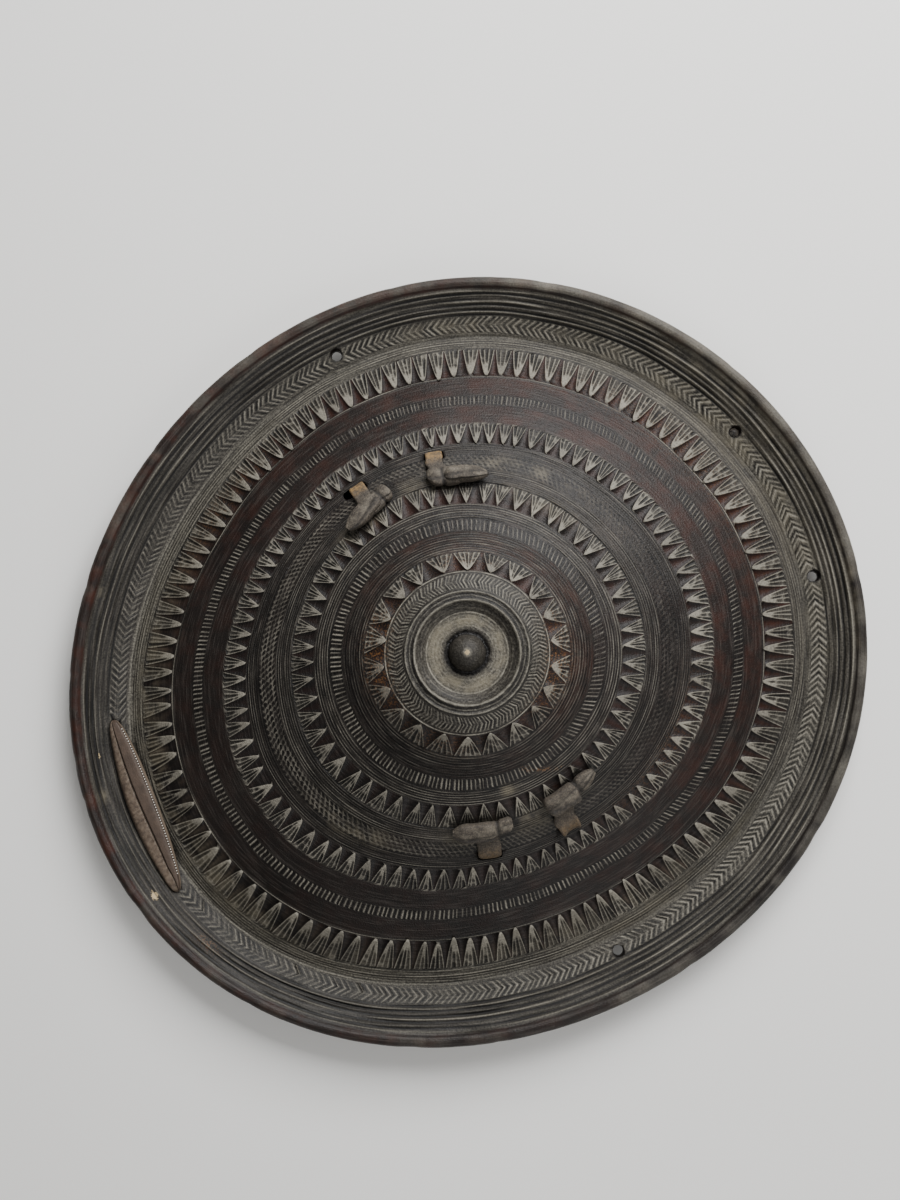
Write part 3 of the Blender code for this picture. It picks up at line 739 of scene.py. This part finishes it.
def smoothed(stations, steps):
    # Places, sides, normals and sizes between the stations, on one smooth line
    rows = np.array([[*place, *side, *normal, *sizes] for place, side, normal, *sizes in stations], float)
    rows = np.vstack([2 * rows[0] - rows[1], rows, 2 * rows[-1] - rows[-2]])
    result = []
    for k in range(1, len(rows) - 2):
        for t in np.arange(steps) / steps:
            a, b, c, d = rows[k - 1:k + 3]
            result.append(0.5 * (2 * b + (c - a) * t + (2 * a - 5 * b + 4 * c - d) * t * t
                                 + (3 * b - a - 3 * c + d) * t ** 3))
    result.append(rows[-2])
    return [(Vector(row[:3]), Vector(row[3:6]).normalized(), Vector(row[6:9]).normalized(), *row[9:])
            for row in result]


def joined(parts):
    points, faces = [], []
    for somePoints, someFaces in parts:
        faces += [tuple(index + len(points) for index in face) for face in someFaces]
        points += [tuple(point) for point in somePoints]
    return points, faces


# Grip: two straps, each hooked through two slots, with a folded roll of its own leather on the face

grip = {
    "direction": math.radians(110),
    "spacing": 62.0,
    "shift": -3.0,                # of both straps to the side, mm
    "width": 26.0,
    "thickness": 4.0,
    "bow": 12.0,                  # of the middle away from the back
    "stemWidth": {"left_upper": 12.5, "left_lower": 17.5, "right_upper": 13.0, "right_lower": 17.0},
    # how far each slot reaches to its two sides; the stem leaves a gap in one of them
    "slotReach": {"left_upper": (-6.8, 12.0), "left_lower": (-9.0, 9.0), "right_upper": (-7.2, 7.2),
                  "right_lower": (-8.0, 6.5)},
    "slotRadius": 153.4,
    "slotWidth": 6.0,
    "rollStep": 21.0,            # from the slot inwards to the middle of the roll
    "rollHalf": 19.0,
    "contactShadeReach": 6.2,
    "rollSlip": {"left_upper": 0.0, "left_lower": -2.0, "right_upper": -13.0, "right_lower": 12.0},
    "rollTwist": {"left_upper": 19, "left_lower": 0, "right_upper": -4, "right_lower": 12},
    "leafWay": {"left_upper": 1, "left_lower": -1, "right_upper": -1, "right_lower": 1},
    "stemCurl": {"left_upper": 0.25, "left_lower": -0.3, "right_upper": 0.2, "right_lower": 1.05},
    # of the leaf and the band of each roll: reach along the roll, sizes and lift in mm, how bluntly the ends close,
    # where the leather's edge lies round it and how it slants, bend sideways in mm, where it is creased across, and
    # how far out it is hollow
    "lobeSizes": ("start", "end", "width", "thick", "lift", "closing", "seam", "slant", "bend", "crease", "hollow"),
    "lobes": {
        "left_upper": ((-10, 25, 16.5, 10.5, 1.4, (0.16, 0.50), 2.3, 1.2, 1.0, -99, 0.97),
                       (-7, 20, 17.5, 9.0, 0.5, (0.3, 0.12), 1.2, -1.0, -1.5, 11, 0.0)),
        "right_upper": ((-8, 25, 15.5, 11.0, 1.6, (0.16, 0.50), 0.75, 0.3, 0.0, -99, 0.0),
                        (-8, 21, 18.5, 9.0, 0.5, (0.3, 0.24), 1.9, 0.9, 4.0, 9, 0.0)),
        "left_lower": ((-9, 24, 16.0, 10.5, 1.4, (0.12, 0.34), 2.5, -0.4, 0.0, -99, 0.98),
                       (-6, 22, 14.0, 9.0, 0.5, (0.3, 0.16), 0.8, 0.6, -2.0, 10, 0.97)),
        "right_lower": ((-12, 25, 15.0, 9.0, 0.6, (0.3, 0.36), 1.3, 0.6, 0.0, 7.5, 0.98),
                        (-6.5, 21, 18.5, 11.5, 1.2, (0.10, 0.16), 2.1, -0.6, 1.0, -99, 0.98)),
    },
}


def slotOf(name):
    # Where a strap's line meets the ring of slots, for a name such as left_upper
    strap, end = name.split("_")
    offset = grip["shift"] + grip["spacing"] / 2 * (1 if strap == "right" else -1)
    along = Vector((math.cos(grip["direction"]), math.sin(grip["direction"]), 0))
    across = Vector((along.y, -along.x, 0))
    reach = grip["slotRadius"] * mm
    for step in range(9):
        point = knobAxis + across * offset * mm + along * (1 if end == "upper" else -1) * reach
        reach *= grip["slotRadius"] / roundRadius(point)
    point.z = faceUnder(point)
    return point


def seatOf(name):
    # Middle of a roll, the way inwards from its slot, its long way and the way up from the face
    slot = slotOf(name)
    flat = slot - knobAxis
    angle = math.atan2(flat.y, flat.x)
    inward = Vector((-math.cos(angle), -math.sin(angle), 0))
    turn = angle + math.radians(grip["rollTwist"][name])
    longWay = Vector((-math.sin(turn), math.cos(turn), 0))
    seat = Vector((slot.x, slot.y, 0)) + inward * grip["rollStep"] * mm + longWay * grip["rollSlip"][name] * mm
    slope = (faceUnder(seat + inward * 0.01) - faceUnder(seat - inward * 0.01)) / 0.02
    return seat, inward, longWay, (up - inward * slope).normalized()


def lobe(seat, longWay, normal, sizes, seed):
    # One wrap of the rolled strap's end, a flattened pillow. The leather's own edge shows as a step that slants over
    # it, and an open end is hollow. Returns the skin, the painted shade of each point, and how far on top it lies.
    form = dict(zip(grip["lobeSizes"], sizes))
    pick = np.random.default_rng(seed)
    side = longWay.cross(normal)
    first, last = form["closing"]
    shares = np.concatenate([np.linspace(0, 1, 21), first * np.array([0.05, 0.2, 0.45]),
                             1 - last * np.array([0.05, 0.15, 0.35])])
    crease = (form["crease"] - form["start"]) / (form["end"] - form["start"])
    shares = np.concatenate([shares, crease + np.array([-0.07, -0.035, 0, 0.035, 0.07])]) if crease > 0 else shares
    rings = []
    for share in np.sort(shares):
        taper = math.sin(math.pi / 2 * min(share / first, 1)) * math.sin(math.pi / 2 * min((1 - share) / last, 1))
        rings.append((share, max(taper, 0.03) ** 0.55))
    if form["hollow"]:
        rings = [ring for ring in rings if ring[0] < form["hollow"]]
        size = rings[-1][1]
        rings += [(form["hollow"] - back, size * part) for back, part in ((0, 0.90), (0.01, 0.72), (0.16, 0.6))]
    fold, waves = pick.uniform(1.0, 2.2), pick.uniform(0, fullTurn, 4)
    sections, looks = [], []
    for share, size in rings:
        place = seat + longWay * (form["start"] + (form["end"] - form["start"]) * share) * mm
        place = place + normal * (faceUnder(place) - seat.z + form["lift"] * mm) + side * form["bend"] * share ** 2 * mm
        section = []
        for turn in around(36):
            wrap = (turn - form["seam"] - form["slant"] * (share - 0.5)) % fullTurn / fullTurn
            dent = 0.13 * math.exp(-((turn - fold - 0.6 * share) / 0.12) ** 2)
            tuck = math.exp(-((share - crease) / 0.05) ** 2)
            lumps = sum(math.sin(3 * (k + 1) * share + (k + 2) * turn + waves[k]) for k in range(4)) * 0.012
            rough = (1 - dent - 0.26 * wrap - 0.14 * tuck + lumps) * (1 + 0.012 * pick.normal())
            x, z = squarish(turn, 0.85, 0.6)
            x, z = x * form["width"] / 2 * size * rough, z * form["thick"] / 2 * size * rough
            section.append(place + side * (x + form["width"] * 0.04) * mm + normal * (z + form["thick"] / 2) * mm)
            # the edge step, the fold dent, the crease, the underside and the narrow ends get painted shade; the upper
            # side is marked for dust with a painted highlight
            step = math.exp(-(min(wrap, 1 - wrap) * fullTurn / 0.16) ** 2)
            low = math.exp(-((z / form["thick"] + 0.5) / 0.30) ** 2)
            looks.append((0.0, min(1.0, max(step, 6 * dent * (turn < math.pi), low, tuck, size < 0.3)),
                          max(0.0, math.sin(turn)) ** 2))
        sections.append(section)
    return *loft(sections), looks


def rollParts(name):
    # A leaf over the whole length, and a band wrapped round one end of it
    seat, inward, longWay, normal = seatOf(name)
    seat.z = faceUnder(seat)
    way = grip["leafWay"][name]
    seed = sum(ord(letter) for letter in name)
    leaf, band = grip["lobes"][name]
    return [lobe(seat, (longWay * way + inward * 0.04).normalized(), normal, leaf, seed),
            lobe(seat, (-longWay * way + inward * 0.10).normalized(), normal, band, seed + 1)]


def endStations(name, top, flip):
    # From under the roll out over the face, down through the slot and round below it
    seat, inward, longWay, normal = seatOf(name)
    slot = slotOf(name)
    side = Vector((inward.y, -inward.x, 0)) * flip
    thick, width = grip["thickness"] * mm, grip["stemWidth"][name] * mm
    run = -inward
    stations = []
    for point in (seat + inward * 0.002, slot + inward * 0.010, slot + inward * 0.004):
        spot = Vector((point.x, point.y, faceUnder(point) + 0.0016)) + normal * thick / 2
        stations.append((spot, side, normal, width, thick * 0.8))
    below = Vector((slot.x, slot.y, top))
    return stations + [(slot + run * 0.0006 + up * 0.0012, side, (normal + run).normalized(), width, thick * 0.85),
                       (slot + run * 0.0012 - up * 0.003, side, run, width, thick * 0.85),
                       (below + up * 0.0015, side, run, width, thick * 0.9),
                       (below - up * thick * 0.45 + inward * 0.003, side, (run - up).normalized(), width * 1.15, thick)]


def makeGripStrap(name):
    names = name + "_upper", name + "_lower"
    top = float(backHeight(grip["slotRadius"] + grip["width"] / 2)) * mm - 0.0003
    thick, wide = grip["thickness"] * mm, grip["width"] * mm
    stations = endStations(names[0], top, 1)
    first, last = [Vector((slotOf(end).x, slotOf(end).y, 0)) for end in names]
    along = (last - first).normalized()
    side = Vector((-along.y, along.x, 0))
    if side.dot(stations[0][1]) < 0:
        side = -side
    length = (last - first).length
    pieces = 12
    for k in range(pieces + 1):
        share = 0.06 + 0.88 * k / pieces
        width = wide * (0.72 + 0.28 * math.sin(math.pi * share) ** 0.35)
        height = top - grip["bow"] * mm * (1 - (2 * share - 1) ** 2) - thick / 2
        sway = 0.05 * math.sin(7 * share)
        tilt = side * math.cos(sway) + up * math.sin(sway)
        stations.append((first + along * length * share + up * height, tilt, -up, width, thick))
    stations += endStations(names[1], top, -1)[::-1]
    line = smoothed(stations, 5)
    sections = []
    for k, (place, way, normal, width, thickness) in enumerate(line):
        near = min(k, len(line) - 1 - k)
        curl = grip["stemCurl"][names[k >= len(line) / 2]] * min(max(1 - abs(near - 17) / 12, 0), 1)
        sections.append(rounded(place, way, normal, width, thickness, curl if near < 30 else -0.12))
    rolls = rollParts(names[0]) + rollParts(names[1])
    strip = loft(sections)
    mesh = facingOut(meshFrom("grip_" + name, *joined([strip] + [roll[:2] for roll in rolls])))
    # on the stems: how close each point is to the bend in the slot, and whether it lies on an upper end, which shows
    # more tan
    looks = [(1.0, max(0.0, min(1.0, 1.1 - abs(roundRadius(point) - grip["slotRadius"] - 2) / 9)), point[1] > 0)
             for point in strip[0]]
    looks += [look for roll in rolls for look in roll[2]]
    setAttribute(mesh, "strapLooks", looks)
    strap = link("grip_" + name, mesh)
    rounding = strap.modifiers.new("rounding", "SUBSURF")
    rounding.levels = rounding.render_levels = 1
    return strap


# Edge strap: one strip folded in along its length, stitched along one edge, its ends drawn through two holes

edgeStrap = {
    "width": 22.8,
    "thickness": 5.5,
    "neck": 5.8,
    "foldAt": -0.08,             # where the crease lies across it, from -1 to 1
    "stitchAt": 0.82,
    "stitchPitch": 2.1,
    "stitchLength": 0.85,
    "threadWidth": 0.9,
    "endWidth": 8.6,
    "contactShadeReach": 9.0,
    "overhang": 0.034,           # share of its length by which it covers each hole
    "belly": 1.8,                # how far its middle is shifted outwards, mm
    "tailLength": 20.0,
    "tailWidth": 8.0,
    "tailThickness": 2.2,
}


def swell(share):
    return math.sin(math.pi * min(max(share, 0.0), 1.0)) ** 0.7


def roundedEnd(share):
    # How much of its width the strap keeps next to its blunt ends
    left = min(share + edgeStrap["overhang"], 1 + edgeStrap["overhang"] - share) / 0.045
    return math.sqrt(max(1 - max(1 - left, 0) ** 2, 0.04))


def edgeStrapLine():
    # The straight line over the face between the two holes
    first, last = [onDisc(shell["holeRadius"], math.radians(angle)) for angle in shell["strapHoles"]]
    along = (last - first).normalized()
    across = Vector((along.y, -along.x, 0))
    return first, last, along, -across if across.dot(first - knobAxis) > 0 else across


def strapTop(share):
    # Middle, half width, thickness of the strap at a share of its length
    first, last, along, across = edgeStrapLine()
    reach = share * (last - first).length
    place = first + along * reach - across * edgeStrap["belly"] * swell(share) ** 2 * mm
    half = (edgeStrap["endWidth"] + (edgeStrap["width"] - edgeStrap["endWidth"]) * swell(share)) / 2 * mm
    half *= roundedEnd(share)
    under = max(faceUnder(place + across * half * step / 4) for step in range(-4, 5)) + 0.0006
    neck = edgeStrap["neck"] * 0.75
    thick = (neck + (edgeStrap["thickness"] - neck) * swell(share)) * mm
    thick *= roundedEnd(share)
    return place, half, under, thick


def foldPlace(share):
    # Where the fold runs: slanting over the strap, and hooking to the stitched side at the lower end
    return edgeStrap["foldAt"] + 0.16 * math.sin(math.pi * (share - 0.5)) + 0.4 * max(0.0, share - 0.88) / 0.15


def foldedHeight(across, thick, share):
    # The upper side: a dip at the fold, the stitched half flat, the other half rippled
    fold = foldPlace(share)
    edge = 1 - abs(across) ** 7
    dip = 0.5 * math.exp(-((across - fold) / 0.045) ** 2)
    seam = 0.12 * math.exp(-((across - edgeStrap["stitchAt"]) / 0.05) ** 2)
    ripple = (0.085 * math.sin(share * 170 + 4 * across + 3 * math.sin(share * 23)) + 0.04 * math.sin(share * 61))
    ripple *= (across < fold) * min(1, (fold - across) * 4)
    low = 0.20 * (across < fold)
    return thick * (edge * (1 - low) - dip * edge - seam + ripple * edge)


def makeEdgeStrap():
    first, last, along, across = edgeStrapLine()
    steps, columns = 200, 40
    points, looks = [], []
    for k in range(steps + 1):
        share = (1 + 2 * edgeStrap["overhang"]) * k / steps - edgeStrap["overhang"]
        place, half, under, thick = strapTop(share)
        for i in range(columns + 1):
            side = 2 * i / columns - 1
            spot = place + across * half * side
            points.append((spot.x, spot.y, under + foldedHeight(side, thick, share)))
            fold = foldPlace(share)
            # painted shade along the fold's crease and along the stitch groove
            paintedShade = 0.8 * math.exp(-((side - fold) / 0.035) ** 2)
            paintedShade += 0.6 * math.exp(-((side - edgeStrap["stitchAt"]) / 0.05) ** 2)
            looks.append((side - fold + edgeStrap["foldAt"] if side < fold + 0.3 else side, 0.0, paintedShade))
        # the underside gets full painted shade
        for i in range(columns - 1, 0, -1):
            side = 2 * i / columns - 1
            spot = place + across * half * side * 0.97
            points.append((spot.x, spot.y, under))
            looks.append((side, 0.0, 1.0))
    faces = strips(steps + 1, columns * 2) + caps(steps + 1, columns * 2)

    # Behind the disc the tails lie flat against the edge band
    backSlope = math.atan2(float(backHeight(ends["edgeBand"][0])),
                           ends["edgeBand"][0] - seatRadius - disc["seatWidth"] / 2)
    behind = shell["holeRadius"] - seatRadius - disc["seatWidth"] / 2
    under = behind * math.tan(backSlope) * mm - (0.0006 + edgeStrap["tailThickness"] * mm / 2) / math.cos(backSlope)
    outward = -across
    slant = outward * math.cos(backSlope) + up * math.sin(backSlope)
    neck, tail = edgeStrap["neck"] * mm, edgeStrap["tailWidth"] * mm
    tails = []
    for hole, way, share in ((first, along, 0.03), (last, -along, 0.97)):
        lean = way.cross(slant)
        lean = -lean if lean.z < 0 else lean
        place, half, rest, thick = strapTop(share)
        level = hole + up * under
        stations = [(level - way * edgeStrap["tailLength"] * mm, slant, lean, tail, 0.0018),
                    (level - way * 0.012, slant, lean, tail, 0.0022),
                    (level - way * 0.005, slant, lean, tail * 0.85, 0.0024),
                    (level - way * 0.0008 + up * 0.001, slant, (lean - way).normalized(), neck, neck * 0.5),
                    (level + up * 0.006, outward, -way, neck, neck * 0.85),
                    (hole + up * (rest + thick * 0.15) + way * 0.001, outward, (up - way).normalized(), neck,
                     neck * 0.6),
                    (place + up * (rest + thick * 0.35) + way * 0.002, outward, up, half * 1.5, thick * 0.5)]
        tails.append(loft([rounded(*row) for row in smoothed(stations, 5)]))
    stitches = []
    length = (last - first).length / mm
    size = edgeStrap["threadWidth"] * mm
    for k in range(int(length * 0.93 / edgeStrap["stitchPitch"])):
        sections = []
        for part, width in ((-0.5, size * 0.55), (0.0, size), (0.5, size * 0.55)):
            share = 0.035 + (k * edgeStrap["stitchPitch"] + part * edgeStrap["stitchLength"]) / length
            place, half, rest, thick = strapTop(share)
            spot = place + across * half * edgeStrap["stitchAt"]
            spot.z = rest + foldedHeight(edgeStrap["stitchAt"], thick, share) - abs(part) * 0.0006 + 0.0004
            sections.append(rounded(spot, across, up, width, width, 0.0, 8))
        stitches.append(loft(sections))
    mesh = facingOut(meshFrom("edge_strap", *joined([(points, faces)] + tails + stitches)))
    for parts, across in ((tails, 0.6), (stitches, 0.0)):
        looks += [(across, 0.0, 0.0)] * sum(len(part[0]) for part in parts)
    setAttribute(mesh, "strapLooks", looks)
    threadStart = len(faces) + sum(len(part[1]) for part in tails)
    mesh.polygons.foreach_set("material_index", [0] * threadStart + [1] * (len(mesh.polygons) - threadStart))
    return link("edge_strap", mesh)


# Vegetable-tanned hide, moulded wet and tooled: near black with a dull wax shine, pale grey where ridges are rubbed
# bare, a brown red where the dye shows, grey dust in the rings, and painted shade, darker still, in the cuts and holes

hideLooks = {
    "ground": ("#1c1816", "#0c0a09"),
    "line": "#47423e",
    "redBrown": "#3b1e15",
    "dye": "#7c5530",
    "dust": ("#3b3833", "#7b776c"),
    "rubbed": "#8f8a7e",
    "pale": "#7f7765",
    "buff": "#b9a57f",
    # painted shade in the cuts, grooves, gaps and holes
    "cut": "#050404",
    "rubbedRoughness": 0.70,
    "waxedRoughness": 0.46,
}


def hideMaterial():
    material, tree, shader = newMaterial("tooled_waxed_hide", 0.26)
    tone, red, dust = channels(tree, "looks")
    dye, pale, buff = channels(tree, "marks")
    place = addNode(tree, "Attribute", 1, attribute_name="ringPlace")
    turned = addNode(tree, "VectorMath", 0, {0: place, 1: (9, 9, 850)}, operation="MULTIPLY")
    spot = addNode(tree, "TexCoord", 3)
    # blotches of 60 mm, patches of 17 mm, grain of about 1.4 mm, and turned lines 1.2 mm apart
    blotch, patch, grain, streak = [
        addNode(tree, "TexNoise", 0, {"Vector": where, "Scale": scale, "Detail": detail, "Roughness": rough})
        for where, scale, detail, rough in ((spot, 16, 5, 0.6), (spot, 60, 4, 0.6), (spot, 700, 3, 0.65),
                                            (turned, 1, 3, 0.6))]
    pores = addNode(tree, "TexVoronoi", 0, {"Vector": spot, "Scale": 900})
    powder = layered(tree, hideLooks["dust"][0], [(grain, 0.36, 0.64, 0, 1, None, hideLooks["dust"][1])])[0]
    high = addNode(tree, "MapRange", 0, {0: tone, 1: 0.1, 2: 1.0})
    ragged = addNode(tree, "Math", 0, {0: grain, 1: 0.9, 2: buff}, operation="MULTIPLY_ADD")
    color, covers = layered(tree, hideLooks["ground"][0], (
        (blotch, 0.35, 0.65, 0, 1, None, hideLooks["ground"][1]),
        (streak, 0.5, 0.7, 0, 0.5, None, hideLooks["line"]),
        (patch, 0.42, 0.66, 0.15, 1, red, hideLooks["redBrown"]),
        (grain, 0.51, 0.60, 0, 1, dye, hideLooks["dye"]),
        (streak, 0.35, 0.7, 0.25, 1, dust, powder),
        (grain, 0.25, 0.6, 0.45, 1, high, hideLooks["rubbed"]),
        (patch, 0.40, 0.62, 0, 1, pale, hideLooks["pale"]),
        (ragged, 0.92, 1.0, 0, 1, None, hideLooks["buff"]),
        # painted shade where the tone is below zero
        (tone, -0.15, -0.95, 0, 0.9, None, hideLooks["cut"])))
    dusty, rubbed = covers[4:6]
    matt = addNode(tree, "Math", 0, {0: dusty, 1: rubbed}, operation="ADD")
    roughness = addNode(tree, "MapRange", 0, {0: matt, 3: hideLooks["waxedRoughness"],
                                              4: hideLooks["rubbedRoughness"]})
    finish(tree, shader, color, roughness, ((streak, 0.55), (grain, 0.45), (pores, 0.25)), 0.0006)
    return material


hideDisc = buildShell()
print("Disc built:", len(hideDisc.data.polygons), "faces")
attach(hideDisc, "root")
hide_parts("hide_shell")


def rawhideMaterial():
    # Old rawhide: dry, fibrous, grey brown with tan where it bends
    material, tree, shader = newMaterial("dry_rawhide")
    stem, bendAndShade, upperSide = channels(tree, "strapLooks")
    spot = addNode(tree, "TexCoord", 3)
    patch, fibre, flakes = [
        addNode(tree, "TexNoise", 0, {"Vector": spot, "Scale": scale, "Detail": detail, "Roughness": rough})
        for scale, detail, rough in ((110, 5, 0.65), (800, 4, 0.8), (340, 5, 0.7))]
    cracks = addNode(tree, "TexVoronoi", 0, {"Vector": spot, "Scale": 260}, feature="DISTANCE_TO_EDGE")
    roll = addNode(tree, "Math", 0, {0: 1.0, 1: stem}, operation="SUBTRACT")
    tanShare = addNode(tree, "MapRange", 0, {0: upperSide, 3: 0.3})
    tan = addNode(tree, "Math", 0, {0: bendAndShade, 1: stem}, operation="MULTIPLY")
    tan, seam, dusty = [addNode(tree, "Math", 0, {0: first, 1: second}, operation="MULTIPLY")
                        for first, second in ((tan, tanShare), (bendAndShade, roll), (upperSide, roll))]
    color, covers = layered(tree, "#2b2621", (
        (patch, 0.3, 0.7, 0, 1, None, "#463e35"),
        (fibre, 0.45, 0.7, 0, 0.7, None, "#756b5d"),
        # the upper side of each roll is paler: dust, with a painted highlight
        (patch, 0.42, 0.62, 0, 0.28, dusty, "#a09888"),
        (flakes, 0.42, 0.56, 0.25, 1, tan, "#94764b"),
        # on the rolls: painted shade in the seams, dents and crease, under them and at their ends
        (seam, 0, 1, 0, 0.9, None, "#15110f"),
        (cracks, 0, 0.05, 0.55, 0, None, "#1a1613")))
    roughness = addNode(tree, "MapRange", 0, {0: fibre, 1: 0.2, 2: 0.8, 3: 0.62, 4: 0.8})
    finish(tree, shader, color, roughness, ((fibre, 0.5), (patch, 0.4), (covers[-1], -0.2)), 0.0009)
    return material


def strapMaterial():
    # Brown chrome-tanned strap leather: smooth and satin, with a faint fine grain and a creased flap
    material, tree, shader = newMaterial("smooth_strap_leather", 0.4)
    across, paintedShade = channels(tree, "strapLooks")[::2]
    spot = addNode(tree, "TexCoord", 3)
    patch, creased = [
        addNode(tree, "TexNoise", 0, {"Vector": spot, "Scale": scale, "Detail": detail, "Roughness": rough})
        for scale, detail, rough in ((90, 5, 0.65), (330, 4, 0.6))]
    pores = addNode(tree, "TexVoronoi", 0, {"Vector": spot, "Scale": 1300})
    flap = addNode(tree, "MapRange", 0, {0: across, 1: -0.12, 2: -0.04, 3: 1.0, 4: 0.0})
    color = layered(tree, "#3d322b", (
        (patch, 0.3, 0.7, 0, 1, None, "#524439"),
        (creased, 0.38, 0.62, 0.15, 0.8, flap, "#6e6153"),
        (across, 0.86, 0.95, 0, 0.5, None, "#857868"),
        # painted shade in the fold's crease, the stitch groove and under the strap
        (paintedShade, 0, 1, 0, 1, None, "#120e0c")))[0]
    roughness = addNode(tree, "MapRange", 0, {0: patch, 1: 0.2, 2: 0.8, 3: 0.5, 4: 0.62})
    finish(tree, shader, color, roughness, ((pores, 0.3), (patch, 0.7)), 0.0005)
    return material


def threadMaterial():
    # Waxed linen thread: pale, twisted, faint shine
    material, tree, shader = newMaterial("waxed_linen_thread")
    spot = addNode(tree, "TexCoord", 3)
    twist = addNode(tree, "TexWave", 1, {"Vector": spot, "Scale": 600, "Distortion": 2.0})
    color = layered(tree, "#e2ddd0", [(twist, 0, 1, 0, 1, None, "#f4f0e6")])[0]
    roughness = addNode(tree, "MapRange", 0, {0: twist, 3: 0.55, 4: 0.65})
    finish(tree, shader, color, roughness, [(twist, 1.0)], 0.0001)
    return material


rawhide = rawhideMaterial()
for way in ("left", "right"):
    strap = makeGripStrap(way)
    strap.data.materials.append(rawhide)
    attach(strap, "root")
    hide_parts("grip_strap_" + way)
print("Grip straps made")

edge = makeEdgeStrap()
edge.data.materials.append(strapMaterial())
edge.data.materials.append(threadMaterial())
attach(edge, "root")
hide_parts("rim_strap")
print("Edge strap made")


# Floor and light

studio = {
    "floor": ("#f6f5f2", "#dedcd8"),
    "floorReach": 9.0,           # from the middle, in metres
    # power, place and size of each light
    "lights": {"key": (70.0, Vector((0.58, 1.36, 1.35)), 1.3), "fill": (13.0, Vector((0.72, -1.25, 1.25)), 1.4)},
    "room": "#f2f1ef",
    "roomLight": 0.25,
}


def floorMaterial():
    # Matt painted board: pale, even, no shine
    material, tree, shader = newMaterial("matt_painted_board")
    cloud = addNode(tree, "TexNoise", 0, {"Scale": 3.0, "Detail": 3})
    color = layered(tree, studio["floor"][0], [(cloud, 0.3, 0.7, 0, 0.06, None, studio["floor"][1])])[0]
    roughness = addNode(tree, "MapRange", 0, {0: cloud, 3: 0.78, 4: 0.86})
    finish(tree, shader, color, roughness, [(cloud, 1.0)], 0.0002)
    return material


def buildStudio():
    size = studio["floorReach"]
    points = [(-size, -size, 0), (size, -size, 0), (size, size, 0), (-size, size, 0)]
    floor = link("floor", meshFrom("floor", points, [(0, 1, 2, 3)]))
    floor.data.materials.append(floorMaterial())
    for name, (power, place, side) in studio["lights"].items():
        light = bpy.data.lights.new(name + "_light", "AREA")
        light.energy = power
        light.size = side
        lamp = bpy.data.objects.new(name + "_light", light)
        lamp.location = place
        lamp.rotation_euler = (-place).to_track_quat("-Z", "Y").to_euler()
        bpy.context.scene.collection.objects.link(lamp)
    world = bpy.data.worlds.new("room")
    world.use_nodes = True
    sky = world.node_tree.nodes["Background"]
    sky.inputs["Color"].default_value = linear(studio["room"])
    sky.inputs["Strength"].default_value = studio["roomLight"]
    bpy.context.scene.world = world


buildStudio()
print("Floor and light placed")
